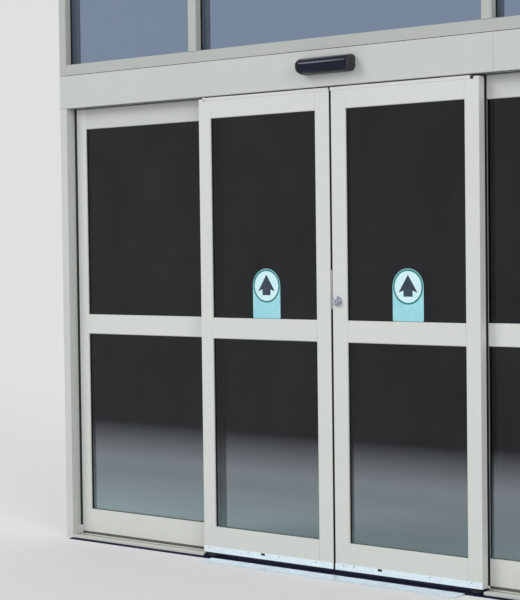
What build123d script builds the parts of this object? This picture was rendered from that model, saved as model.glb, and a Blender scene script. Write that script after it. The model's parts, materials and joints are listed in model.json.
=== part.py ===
"""Automatic bi-parting sliding door: framed sidelites, two sliding leaves, header and transom.

X runs to the right as seen from outside, Y runs into the building and Z runs up.
The origin is on the floor, at the middle of the doorway and of the frame's depth.
"""

import os
from dataclasses import dataclass

from build123d import *

# Outer frame
frame_width = 3380.0
frame_depth = 114.3
jamb_face = 46.0
clear_height = 2182.0
extrusion_wall = 3.0
edge_break = 1.2

# Header, measured from its outside face and its underside
header_height = 166.0
header_depth = 152.0
header_lip_height = 16.0
header_cap_thickness = 3.0
cover_thickness = 3.0
cover_return = 12.0
cover_hook_height = 5.0
cover_joint = 0.5
cover_bevel = 2.5
cover_seam_x = 835.0
cover_seam_gap = 1.0
track_web_front = 50.0
track_ledge_nose = 30.0
track_ledge_height = 70.0
track_ledge_thickness = 4.0
track_bead_radius = 4.0

# Transom light above the header
transom_height = 610.0
transom_rail_face = 54.0
transom_glass_front = 40.0
mullion_face = 50.0
mullion_centre = 802.0

# Glass and the pockets that hold it
glass_thickness = 6.0
glass_bite = 9.0
glass_play = 0.3
pocket_depth = 12.0
bead_wall = 2.0
bead_bevel = 3.0

# Panels: two sliding leaves in front of two sidelites
panel_thickness = 44.5
panel_glass_front = 11.0
mid_rail_bottom = 1043.0
mid_rail_face = 98.0
lower_sightline = 149.0
leaf_meeting_gap = 12.0
leaf_width = 759.0
leaf_bottom = 25.0
leaf_head_gap = 11.0
leaf_top_rail_face = 93.0
lead_stile_face = 78.5
trail_stile_face = 71.0
leaf_to_sidelite = 8.0
leaf_travel = 690.0
sidelite_nose = 700.0
sidelite_jamb_gap = 18.5
sidelite_bottom = 33.0
sidelite_head_gap = 6.0
sidelite_top_rail_face = 100.0
nose_stile_face = 69.0
outer_stile_face = 63.0

# Floor parts
sill_height = 16.0
sill_groove_width = 6.0
sill_groove_depth = 2.0
sill_groove_pitch = 20.0
sill_groove_count = 3
threshold_end = 770.0
threshold_height = 6.0
threshold_nosing = 30.0
track_strip_height = 3.0
threshold_rib_pitch = 16.0
threshold_rib_width = 5.0
threshold_rib_depth = 1.5
ramp_half_width = 695.0
ramp_length = 80.0
ramp_edge_height = 1.5
guide_channel_depth = 22.0
guide_side_play = 5.25
guide_top_play = 5.0
guide_length = 45.0
guide_end_play = 6.0

# Black seals
seal_thickness = 26.0
seal_setback = 3.0
meeting_fin_thickness = 4.0
meeting_fin_overlap = 1.0
meeting_fin_setback = 8.0
meeting_fin_foot = 14.0
meeting_fin_foot_thickness = 1.5

# Hangers and rollers
hanger_inset = 120.0
hanger_length = 140.0
hanger_plate_thickness = 6.0
hanger_plate_front = 19.0
hanger_foot_front = 8.0
hanger_foot_depth = 28.0
hanger_foot_thickness = 6.0
hanger_head_room = 20.0
roller_pitch = 90.0
roller_radius = 23.0
roller_width = 12.0
roller_groove_depth = 3.0
roller_groove_floor = 2.0
roller_play = 0.3
axle_radius = 4.0
axle_play = 0.1
axle_end = 2.0
spacer_radius = 7.0

# Trim on the leaves and the header
strip_height = 28.0
strip_thickness = 2.0
lock_height = 1226.0
lock_inset = 27.0
lock_collar_radius = 23.0
lock_collar_rim_radius = 20.0
lock_collar_depth = 10.0
lock_plug_radius = 14.5
lock_depth = 14.0
keyway_width = 2.5
keyway_height = 9.0
keyway_depth = 6.0
sensor_length = 294.0
sensor_height = 75.0
sensor_depth = 56.0
sensor_end_lean = 3.0
sensor_top_cut_run = 16.0
sensor_top_cut_drop = 24.0
sensor_foot_cut_run = 32.0
sensor_foot_cut_rise = 22.0
sensor_top_drop = 34.0
sensor_centre_x = -5.0

# Anchor holes in each jamb
anchor_radius = 4.5
anchor_spacing = 1600.0
anchor_mid_height = 1100.0
anchor_setback = 75.0

# Levels and planes worked out from the values above
face_y = -frame_depth / 2
half_width = frame_width / 2
jamb_inner = half_width - jamb_face
header_top = clear_height + header_height
transom_top = header_top + transom_height
leaf_front = face_y
leaf_back = leaf_front + panel_thickness
leaf_inner = leaf_meeting_gap / 2
leaf_outer = leaf_inner + leaf_width
leaf_top = clear_height - leaf_head_gap
sidelite_front = leaf_back + leaf_to_sidelite
sidelite_outer = jamb_inner - sidelite_jamb_gap
sidelite_top = clear_height - sidelite_head_gap
mid_rail_top = mid_rail_bottom + mid_rail_face
threshold_front = face_y - threshold_nosing
roller_tread_radius = roller_radius - roller_groove_depth
track_top = track_ledge_height + track_ledge_thickness
track_bead_y = track_ledge_nose + track_bead_radius
roller_axis_height = clear_height + track_top + track_bead_radius + roller_play + roller_tread_radius
roller_axis_y = face_y + track_bead_y

SIDES = (("left", -1), ("right", 1))

os.makedirs("parts", exist_ok=True)


def save(piece, name):
    """Label a finished piece and write it as its own STEP file."""
    piece.part.label = name
    export_step(piece.part, f"parts/{name}.step")


def span(side, near, far):
    """Low X and length of a stretch given by its distances from the doorway's middle."""
    return min(side * near, side * far), far - near


def upright_plane(x_low, front, bottom):
    """Section plane of an upright: local x is +X and local y is +Y."""
    return Plane((x_low, front, bottom), x_dir=(1, 0, 0), z_dir=(0, 0, 1))


def crosswise_plane(x_high, front, bottom):
    """Section plane of a rail: local x is +Z, local y is +Y, and it extrudes towards -X."""
    return Plane((x_high, front, bottom), x_dir=(0, 0, 1), z_dir=(-1, 0, 0))


def draw_block(low, high, front, back, mode=Mode.ADD):
    """Rectangle given by its four edges in a section."""
    with Locations(((low + high) / 2, (front + back) / 2)):
        Rectangle(high - low, back - front, mode=mode)


def draw_bead(edge, inward, depth, glass_front):
    """Glazing pocket with a hollow bead on each side of it, cut at one edge of a section."""
    pocket_front = glass_front - glass_play
    pocket_back = glass_front + glass_thickness + glass_play
    bottom = edge + inward * pocket_depth
    hollow = edge + inward * bead_wall
    draw_block(min(edge, bottom), max(edge, bottom), pocket_front, pocket_back, Mode.SUBTRACT)
    for front, back in ((0, pocket_front), (pocket_back, depth)):
        draw_block(
            min(hollow, bottom), max(hollow, bottom), front + bead_wall, back - bead_wall, Mode.SUBTRACT
        )


def draw_member(
    face, depth, glass_front, low_pocket=False, high_pocket=False, channel=0.0, bevelled=True
):
    """Hollow framing section: a tube with glazing pockets and, under a leaf, a guide channel."""
    low = bead_bevel if low_pocket and bevelled else edge_break
    high = bead_bevel if high_pocket and bevelled else edge_break
    Polygon(
        (low, 0), (face - high, 0), (face, high), (face, depth - high),
        (face - high, depth), (low, depth), (0, depth - low), (0, low),
        align=None,
    )
    tube_low = channel
    tube_high = face
    if low_pocket:
        tube_low = pocket_depth
        draw_bead(0, 1, depth, glass_front)
    if high_pocket:
        tube_high = face - pocket_depth
        draw_bead(face, -1, depth, glass_front)
    if channel:
        draw_block(0, channel, extrusion_wall, depth - extrusion_wall, Mode.SUBTRACT)
    draw_block(
        tube_low + extrusion_wall, tube_high - extrusion_wall,
        extrusion_wall, depth - extrusion_wall, Mode.SUBTRACT,
    )


def cut_bevels(edge, into_glass, front, depth, levels):
    """Bevel an upright's glass edge, outside and inside, along each daylight opening."""
    for low, high in levels:
        for y, inward in ((front, 1), (front + depth, -1)):
            with BuildSketch(Plane.XY.offset(low)) as bevel:
                Polygon(
                    (edge, y), (edge - into_glass * bead_bevel, y), (edge, y + inward * bead_bevel),
                    align=None,
                )
            extrude(bevel.sketch, amount=high - low, mode=Mode.SUBTRACT)


@dataclass(frozen=True)
class Panel:
    """A glazed panel, placed by distances from the doorway's middle."""

    name: str
    side: int
    inner: float
    outer: float
    inner_face: float
    outer_face: float
    inner_name: str
    outer_name: str
    front: float
    bottom: float
    top: float
    top_rail_face: float
    channel: float

    def levels(self):
        """Bottom and top of the lower and the upper daylight opening."""
        return (
            (lower_sightline, mid_rail_bottom),
            (mid_rail_top, self.top - self.top_rail_face),
        )


def build_stile(panel, name, near, far, glass_is_outward):
    """Full-height stile, with the guide channel carried through its foot."""
    x_low, face = span(panel.side, near, far)
    glass_is_high = glass_is_outward == (panel.side > 0)
    glass_edge = x_low + face if glass_is_high else x_low
    with BuildPart() as stile:
        with BuildSketch(upright_plane(x_low, panel.front, panel.bottom)):
            draw_member(
                face, panel_thickness, panel_glass_front,
                low_pocket=not glass_is_high, high_pocket=glass_is_high, bevelled=False,
            )
        extrude(amount=panel.top - panel.bottom)
        cut_bevels(
            glass_edge, 1 if glass_is_high else -1, panel.front, panel_thickness, panel.levels()
        )
        if panel.channel:
            notch_low = extrusion_wall if glass_is_high else 0
            notch_high = face if glass_is_high else face - extrusion_wall
            with BuildSketch(upright_plane(x_low, panel.front, panel.bottom)):
                draw_block(notch_low, notch_high, extrusion_wall, panel_thickness - extrusion_wall)
            extrude(amount=panel.channel, mode=Mode.SUBTRACT)
    save(stile, f"{panel.name}_{name}")


def build_rail(panel, name, low, high, low_pocket, high_pocket, channel=0.0):
    """Rail that butts between the two stiles."""
    x_low, length = span(panel.side, panel.inner + panel.inner_face, panel.outer - panel.outer_face)
    with BuildPart() as rail:
        with BuildSketch(crosswise_plane(x_low + length, panel.front, low)):
            draw_member(
                high - low, panel_thickness, panel_glass_front,
                low_pocket=low_pocket, high_pocket=high_pocket, channel=channel,
            )
        extrude(amount=length)
    save(rail, f"{panel.name}_{name}")


def build_lites(name, front, openings):
    """Panes of glass, each reaching its bite into the pockets round a daylight opening."""
    with BuildPart() as lites:
        for x_low, x_high, z_low, z_high in openings:
            with BuildSketch(crosswise_plane(x_high + glass_bite, front, 0)):
                draw_block(z_low - glass_bite, z_high + glass_bite, 0, glass_thickness)
            extrude(amount=x_high - x_low + 2 * glass_bite)
    save(lites, name)


def build_panel(panel):
    """Stiles, rails and glass of one panel."""
    inner_edge = panel.inner + panel.inner_face
    outer_edge = panel.outer - panel.outer_face
    build_stile(panel, panel.inner_name, panel.inner, inner_edge, glass_is_outward=True)
    build_stile(panel, panel.outer_name, outer_edge, panel.outer, glass_is_outward=False)
    build_rail(panel, "top_rail", panel.top - panel.top_rail_face, panel.top, True, False)
    build_rail(panel, "mid_rail", mid_rail_bottom, mid_rail_top, True, True)
    build_rail(panel, "bottom_rail", panel.bottom, lower_sightline, False, True, panel.channel)
    x_low, length = span(panel.side, inner_edge, outer_edge)
    build_lites(
        f"{panel.name}_glass", panel.front + panel_glass_front,
        [(x_low, x_low + length, low, high) for low, high in panel.levels()],
    )


def build_jamb(name, side):
    """Hollow door jamb with its wall anchor holes."""
    x_low, face = span(side, jamb_inner, half_width)
    with BuildPart() as jamb:
        with BuildSketch(upright_plane(x_low, face_y, 0)):
            draw_member(face, frame_depth, 0)
        extrude(amount=clear_height)
        anchor_plane = Plane(
            (x_low, face_y + anchor_setback, anchor_mid_height), x_dir=(0, 1, 0), z_dir=(1, 0, 0)
        )
        with BuildSketch(anchor_plane):
            with GridLocations(anchor_spacing, anchor_spacing, 1, 2):
                Circle(anchor_radius)
        extrude(amount=face, mode=Mode.SUBTRACT)
    save(jamb, f"{name}_jamb")


def build_header():
    """Housing with the roller track, the snap-on cover in two lengths, and the end caps."""
    wall = extrusion_wall
    run_end = half_width - header_cap_thickness
    with BuildPart() as housing:
        with BuildSketch(crosswise_plane(run_end, face_y, clear_height)):
            draw_block(header_height - wall, header_height, cover_thickness, header_depth)
            draw_block(0, header_height, header_depth - wall, header_depth)
            draw_block(0, wall, track_web_front, header_depth)
            draw_block(0, header_height, track_web_front, track_web_front + wall)
            draw_block(
                header_height - header_lip_height, header_height, cover_thickness, 2 * cover_thickness
            )
            draw_block(track_ledge_height, track_top, track_ledge_nose, track_web_front + wall)
            with Locations((track_top, track_bead_y)):
                Circle(track_bead_radius)
        extrude(amount=2 * run_end)
    save(housing, "header_housing")

    cover_top = header_height - cover_joint
    hook_top = header_height - header_lip_height - cover_joint
    cover_lengths = (
        ("header_cover_main", -run_end, cover_seam_x - cover_seam_gap / 2),
        ("header_cover_right", cover_seam_x + cover_seam_gap / 2, run_end),
    )
    for name, x_low, x_high in cover_lengths:
        with BuildPart() as cover:
            with BuildSketch(crosswise_plane(x_high, face_y, clear_height)):
                Polygon(
                    (0, cover_bevel), (cover_bevel, 0), (cover_top - edge_break, 0),
                    (cover_top, edge_break), (cover_top, cover_thickness),
                    (wall, cover_thickness), (wall, cover_return), (0, cover_return),
                    align=None,
                )
                draw_block(
                    hook_top - cover_hook_height, hook_top, cover_thickness, 2 * cover_thickness
                )
            extrude(amount=x_high - x_low)
        save(cover, name)

    with BuildPart() as caps:
        for x_high in (half_width, -run_end):
            with BuildSketch(crosswise_plane(x_high, face_y, clear_height)):
                draw_block(0, header_height, 0, header_depth)
            extrude(amount=header_cap_thickness)
    save(caps, "header_end_caps")


def build_transom():
    """Frame of the fixed light over the header, and its three panes."""
    sill_top = header_top + transom_rail_face
    head_bottom = transom_top - transom_rail_face
    rails = (("transom_sill", header_top, False, True), ("transom_head", head_bottom, True, False))
    for name, bottom, low_pocket, high_pocket in rails:
        with BuildPart() as rail:
            with BuildSketch(crosswise_plane(jamb_inner, face_y, bottom)):
                draw_member(
                    transom_rail_face, frame_depth, transom_glass_front,
                    low_pocket=low_pocket, high_pocket=high_pocket,
                )
            extrude(amount=2 * jamb_inner)
        save(rail, name)

    mullion_low = mullion_centre - mullion_face / 2
    mullion_high = mullion_centre + mullion_face / 2
    posts = (
        (-half_width, jamb_face, header_top, transom_top, False, True),
        (-mullion_high, mullion_face, sill_top, head_bottom, True, True),
        (mullion_low, mullion_face, sill_top, head_bottom, True, True),
        (jamb_inner, jamb_face, header_top, transom_top, True, False),
    )
    with BuildPart() as uprights:
        for x_low, face, bottom, top, low_pocket, high_pocket in posts:
            with BuildSketch(upright_plane(x_low, face_y, bottom)):
                draw_member(
                    face, frame_depth, transom_glass_front,
                    low_pocket=low_pocket, high_pocket=high_pocket,
                )
            extrude(amount=top - bottom)
    save(uprights, "transom_posts")

    build_lites(
        "transom_glass", face_y + transom_glass_front,
        (
            (-jamb_inner, -mullion_high, sill_top, head_bottom),
            (-mullion_low, mullion_low, sill_top, head_bottom),
            (mullion_high, jamb_inner, sill_top, head_bottom),
        ),
    )


def build_floor_parts():
    """Sills under the sidelites, the threshold with its nosing, its ramp and the leaf guides."""
    wall = extrusion_wall
    with BuildPart() as sills:
        for _, side in SIDES:
            x_low, length = span(side, threshold_end, jamb_inner)
            with BuildSketch(crosswise_plane(x_low + length, face_y, 0)):
                Polygon(
                    (0, 0), (sill_height - edge_break, 0), (sill_height, edge_break),
                    (sill_height, frame_depth), (0, frame_depth),
                    align=None,
                )
                draw_block(wall, sill_height - 2 * wall, wall, frame_depth - wall, Mode.SUBTRACT)
                for number in range(1, sill_groove_count + 1):
                    middle = number * sill_groove_pitch
                    draw_block(
                        sill_height - sill_groove_depth, sill_height,
                        middle - sill_groove_width / 2, middle + sill_groove_width / 2, Mode.SUBTRACT,
                    )
            extrude(amount=length)
    save(sills, "sidelite_sills")

    threshold_depth = threshold_nosing + frame_depth
    rib_count = int(threshold_depth // threshold_rib_pitch) - 1
    with BuildPart() as threshold:
        with BuildSketch(crosswise_plane(threshold_end, threshold_front, 0)):
            draw_block(0, threshold_height, 0, threshold_depth)
            for number in range(1, rib_count + 1):
                middle = number * threshold_rib_pitch
                draw_block(
                    threshold_height - threshold_rib_depth, threshold_height,
                    middle, middle + threshold_rib_width, Mode.SUBTRACT,
                )
        extrude(amount=2 * threshold_end)
        for _, side in SIDES:
            x_low, length = span(side, threshold_end, jamb_inner)
            with BuildSketch(crosswise_plane(x_low + length, threshold_front, 0)):
                draw_block(0, track_strip_height, 0, threshold_nosing)
            extrude(amount=length)
    save(threshold, "threshold")

    with BuildPart() as ramp:
        with BuildSketch(crosswise_plane(ramp_half_width, threshold_front, 0)):
            Polygon(
                (0, 0), (threshold_height, 0), (ramp_edge_height, -ramp_length), (0, -ramp_length),
                align=None,
            )
        extrude(amount=2 * ramp_half_width)
    save(ramp, "ramp_plate")

    guide_top = leaf_bottom + guide_channel_depth - guide_top_play
    guide_front = leaf_front + wall + guide_side_play
    guide_back = leaf_back - wall - guide_side_play
    guide_near = leaf_inner + leaf_travel + wall + guide_end_play
    with BuildPart() as guides:
        for _, side in SIDES:
            x_low, length = span(side, guide_near, guide_near + guide_length)
            with BuildSketch(upright_plane(x_low, 0, threshold_height)):
                draw_block(0, length, guide_front, guide_back)
            extrude(amount=guide_top - threshold_height)
    save(guides, "floor_guides")


def build_sidelite_seals():
    """Black seals that close the gaps beside, under and over each sidelite."""
    front = sidelite_front + seal_setback
    with BuildPart() as seals:
        for _, side in SIDES:
            jamb_strip, gap = span(side, sidelite_outer, jamb_inner)
            sill_strip, sill_length = span(side, threshold_end, jamb_inner)
            head_strip, head_length = span(side, sidelite_nose, jamb_inner)
            with BuildSketch(Plane((0, front, 0), x_dir=(1, 0, 0), z_dir=(0, -1, 0))):
                draw_block(jamb_strip, jamb_strip + gap, sill_height, clear_height)
                draw_block(sill_strip, sill_strip + sill_length, sill_height, sidelite_bottom)
                draw_block(head_strip, head_strip + head_length, sidelite_top, clear_height)
            extrude(amount=-seal_thickness)
    save(seals, "sidelite_seals")


def build_hangers(name, side):
    """Two hangers with hexagonal spacers on a leaf's top, and their grooved rollers on the track."""
    centres = (side * (leaf_inner + hanger_inset), side * (leaf_outer - hanger_inset))
    axles = []
    for centre in centres:
        axles += [centre - roller_pitch / 2, centre + roller_pitch / 2]
    plate_front = face_y + hanger_plate_front
    plate_back = plate_front + hanger_plate_thickness
    roller_front = roller_axis_y - roller_width / 2
    roller_back = roller_axis_y + roller_width / 2
    with BuildPart() as hangers:
        for centre in centres:
            with BuildSketch(Plane.XY.offset(leaf_top)):
                draw_block(
                    centre - hanger_length / 2, centre + hanger_length / 2,
                    face_y + hanger_foot_front, face_y + hanger_foot_front + hanger_foot_depth,
                )
            extrude(amount=hanger_foot_thickness)
            with BuildSketch(Plane.XY.offset(leaf_top)):
                draw_block(
                    centre - hanger_length / 2, centre + hanger_length / 2, plate_front, plate_back
                )
            extrude(amount=roller_axis_height + hanger_head_room - leaf_top)
        for x in axles:
            axle_plane = Plane((x, plate_back, roller_axis_height), z_dir=(0, 1, 0))
            with BuildSketch(axle_plane):
                RegularPolygon(spacer_radius, 6)
            extrude(amount=roller_front - plate_back - axle_play)
            with BuildSketch(axle_plane):
                Circle(axle_radius)
            extrude(amount=roller_back + axle_end - plate_back)
    save(hangers, f"{name}_leaf_hangers")

    hub = axle_radius + axle_play
    tread = roller_tread_radius
    with BuildPart() as rollers:
        for x in axles:
            radial_plane = Plane((x, roller_axis_y, roller_axis_height), x_dir=(0, 0, 1), z_dir=(1, 0, 0))
            with BuildSketch(radial_plane):
                Polygon(
                    (hub, -roller_width / 2), (roller_radius, -roller_width / 2),
                    (tread, -roller_groove_floor), (tread, roller_groove_floor),
                    (roller_radius, roller_width / 2), (hub, roller_width / 2),
                    align=None,
                )
            revolve(axis=Axis((x, roller_axis_y, roller_axis_height), (0, 1, 0)))
    save(rollers, f"{name}_leaf_rollers")


def build_bottom_strip(name, side):
    """Bright strip across the foot of a leaf's outside face."""
    x_low, length = span(side, leaf_inner, leaf_outer)
    with BuildPart() as strip:
        with BuildSketch(upright_plane(x_low, leaf_front, leaf_bottom)):
            draw_block(0, length, -strip_thickness, 0)
        extrude(amount=strip_height)
    save(strip, f"{name}_leaf_bottom_strip")


def build_meeting_seal(name, side):
    """Rubber fin on a lead stile's edge; the two fins pass each other and shut the gap."""
    setback = meeting_fin_setback
    if side > 0:
        setback = panel_thickness - meeting_fin_setback - meeting_fin_thickness
    middle = leaf_front + setback + meeting_fin_thickness / 2
    foot_far = leaf_inner - meeting_fin_foot_thickness
    with BuildPart() as seal:
        with BuildSketch(Plane.XY.offset(leaf_bottom)):
            x_low, length = span(side, -meeting_fin_overlap, leaf_inner)
            draw_block(
                x_low, x_low + length,
                middle - meeting_fin_thickness / 2, middle + meeting_fin_thickness / 2,
            )
            x_low, length = span(side, foot_far, leaf_inner)
            draw_block(x_low, x_low + length, middle - meeting_fin_foot / 2, middle + meeting_fin_foot / 2)
        extrude(amount=leaf_top - leaf_bottom)
    save(seal, f"{name}_leaf_meeting_seal")


def build_lock():
    """Key cylinder in a tapered collar on the right leaf's lead stile."""
    lock_x = leaf_inner + lock_inset
    with BuildPart() as lock:
        with BuildSketch(Plane((lock_x, leaf_front, lock_height), x_dir=(1, 0, 0), z_dir=(0, 0, 1))):
            Polygon(
                (0, 0), (lock_collar_radius, 0), (lock_collar_rim_radius, -lock_collar_depth),
                (lock_plug_radius, -lock_collar_depth), (lock_plug_radius, -lock_depth), (0, -lock_depth),
                align=None,
            )
        revolve(axis=Axis((lock_x, leaf_front, lock_height), (0, 1, 0)))
        with BuildSketch(Plane((lock_x, leaf_front - lock_depth, lock_height), z_dir=(0, 1, 0))):
            Rectangle(keyway_height, keyway_width)
        extrude(amount=keyway_depth, mode=Mode.SUBTRACT)
    save(lock, "right_leaf_lock_cylinder")


def draw_sensor_section(depth, height):
    """Faceted sensor section: local x is up and local y is away from the header."""
    Polygon(
        (-height / 2, 0), (-height / 2, 0.55 * depth), (-0.36 * height, 0.92 * depth),
        (0.18 * height, depth), (0.42 * height, 0.62 * depth), (height / 2, 0),
        align=None,
    )


def build_sensor(name, centre_x, wall_y, outward):
    """Presence sensor: a faceted bar with its end corners cut off, fixed to one face of the header."""
    middle = header_top - sensor_top_drop - sensor_height / 2
    half_length = sensor_length / 2
    half_height = sensor_height / 2
    front_y = wall_y + outward * sensor_depth
    front_end = half_length - sensor_end_lean
    top_end = half_length - sensor_top_cut_run
    foot_end = half_length - sensor_foot_cut_run
    top_corner = half_height - sensor_top_cut_drop
    foot_corner = sensor_foot_cut_rise - half_height
    with BuildPart() as sensor:
        start = (centre_x + outward * half_length, wall_y, middle)
        with BuildSketch(Plane(start, x_dir=(0, 0, 1), z_dir=(-outward, 0, 0))):
            draw_sensor_section(sensor_depth, sensor_height)
        extrude(amount=sensor_length)
        with BuildSketch(Plane((centre_x, 0, middle - half_height))):
            Polygon(
                (-half_length, wall_y), (half_length, wall_y),
                (front_end, front_y), (-front_end, front_y),
                align=None,
            )
        extrude(amount=sensor_height, mode=Mode.INTERSECT)
        end_plane = Plane((centre_x, wall_y, middle), x_dir=(-outward, 0, 0), z_dir=(0, outward, 0))
        with BuildSketch(end_plane):
            Polygon(
                (-half_length, foot_corner), (-foot_end, -half_height), (foot_end, -half_height),
                (half_length, foot_corner), (half_length, top_corner), (top_end, half_height),
                (-top_end, half_height), (-half_length, top_corner),
                align=None,
            )
        extrude(amount=sensor_depth, mode=Mode.INTERSECT)
    save(sensor, name)


for side_name, side_sign in SIDES:
    build_panel(Panel(
        name=f"{side_name}_leaf", side=side_sign, inner=leaf_inner, outer=leaf_outer,
        inner_face=lead_stile_face, outer_face=trail_stile_face,
        inner_name="lead_stile", outer_name="trail_stile", front=leaf_front,
        bottom=leaf_bottom, top=leaf_top, top_rail_face=leaf_top_rail_face,
        channel=guide_channel_depth,
    ))
    build_panel(Panel(
        name=f"{side_name}_sidelite", side=side_sign, inner=sidelite_nose, outer=sidelite_outer,
        inner_face=nose_stile_face, outer_face=outer_stile_face,
        inner_name="nose_stile", outer_name="outer_stile", front=sidelite_front,
        bottom=sidelite_bottom, top=sidelite_top, top_rail_face=sidelite_top_rail_face,
        channel=0.0,
    ))
    build_jamb(side_name, side_sign)
    build_hangers(side_name, side_sign)
    build_bottom_strip(side_name, side_sign)
    build_meeting_seal(side_name, side_sign)

build_lock()
build_header()
build_transom()
build_floor_parts()
build_sidelite_seals()
build_sensor("entrance_sensor", sensor_centre_x, face_y, -1)
build_sensor("interior_sensor", 0, face_y + header_depth, 1)
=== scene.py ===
"""Dresses the automatic sliding door: finishes, seals, fasteners, signs, lock and sensors.

Lengths are metres in the part's own frame: X right seen from outside, Y into the building, Z up.
"""

import json
import logging
import math
from dataclasses import dataclass
from enum import Enum
from typing import Callable, ClassVar, Iterable, Optional, Sequence

import bpy
from mathutils import Matrix, Vector


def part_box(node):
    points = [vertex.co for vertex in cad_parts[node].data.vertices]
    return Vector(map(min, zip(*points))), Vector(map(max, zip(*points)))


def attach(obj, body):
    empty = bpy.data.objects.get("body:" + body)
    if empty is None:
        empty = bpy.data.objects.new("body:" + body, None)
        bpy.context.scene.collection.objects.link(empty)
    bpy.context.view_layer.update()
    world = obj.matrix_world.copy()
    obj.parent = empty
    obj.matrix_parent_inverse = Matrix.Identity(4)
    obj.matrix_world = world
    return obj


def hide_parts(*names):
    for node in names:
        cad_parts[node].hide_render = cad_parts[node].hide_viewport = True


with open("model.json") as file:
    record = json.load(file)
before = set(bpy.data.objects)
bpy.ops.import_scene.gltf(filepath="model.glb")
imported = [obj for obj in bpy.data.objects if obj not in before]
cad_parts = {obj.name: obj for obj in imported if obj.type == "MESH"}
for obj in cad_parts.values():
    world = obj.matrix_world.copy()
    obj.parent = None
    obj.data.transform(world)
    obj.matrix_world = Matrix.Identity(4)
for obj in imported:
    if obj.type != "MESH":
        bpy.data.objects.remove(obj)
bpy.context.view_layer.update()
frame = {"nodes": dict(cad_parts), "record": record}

log = logging.getLogger("sliding_door")

OUTSIDE_FACE = -0.05715
TINY = 0.00012

Point = tuple[float, float, float]
Pair = tuple[float, float]
Colour = tuple[float, float, float]
Piece = bpy.types.Object
Output = bpy.types.NodeSocket
Test = Callable[[Vector, Vector], bool]
Inputs = dict[str | int, object]


class Axis(Enum):
    """The three directions of the part's frame."""

    X = 0
    Y = 1
    Z = 2


class Facing(Enum):
    """The way that a fastener's head looks."""

    OUTSIDE = (0.0, -1.0, 0.0)
    LEFT = (-1.0, 0.0, 0.0)
    RIGHT = (1.0, 0.0, 0.0)
    UP = (0.0, 0.0, 1.0)

    @property
    def turn(self) -> Matrix:
        """Turns a piece that points along Z this way."""
        return Vector(self.value).to_track_quat("Z", "Y").to_matrix().to_4x4()


class Element(Enum):
    """What is picked in edit mode."""

    POINT = 0
    EDGE = 1
    FACE = 2


class Body(Enum):
    """The bodies that pieces ride on."""

    FRAME = "frame"
    LEFT_LEAF = "left_leaf"
    RIGHT_LEAF = "right_leaf"


class Slot(Enum):
    """The record's material slots."""

    PAINT = "painted_frame"
    GLASS = "clear_glass"
    MILL = "mill_aluminium"
    DARK = "dark_aluminium"
    ZINC = "zinc_steel"
    NICKEL = "nickel"
    NYLON = "nylon"
    PLASTIC = "black_plastic"
    RUBBER = "black_rubber"


def corner_of(node: str) -> tuple[Vector, Vector]:
    """Lowest and highest corner of a CAD node at rest."""
    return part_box(node)


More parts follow.
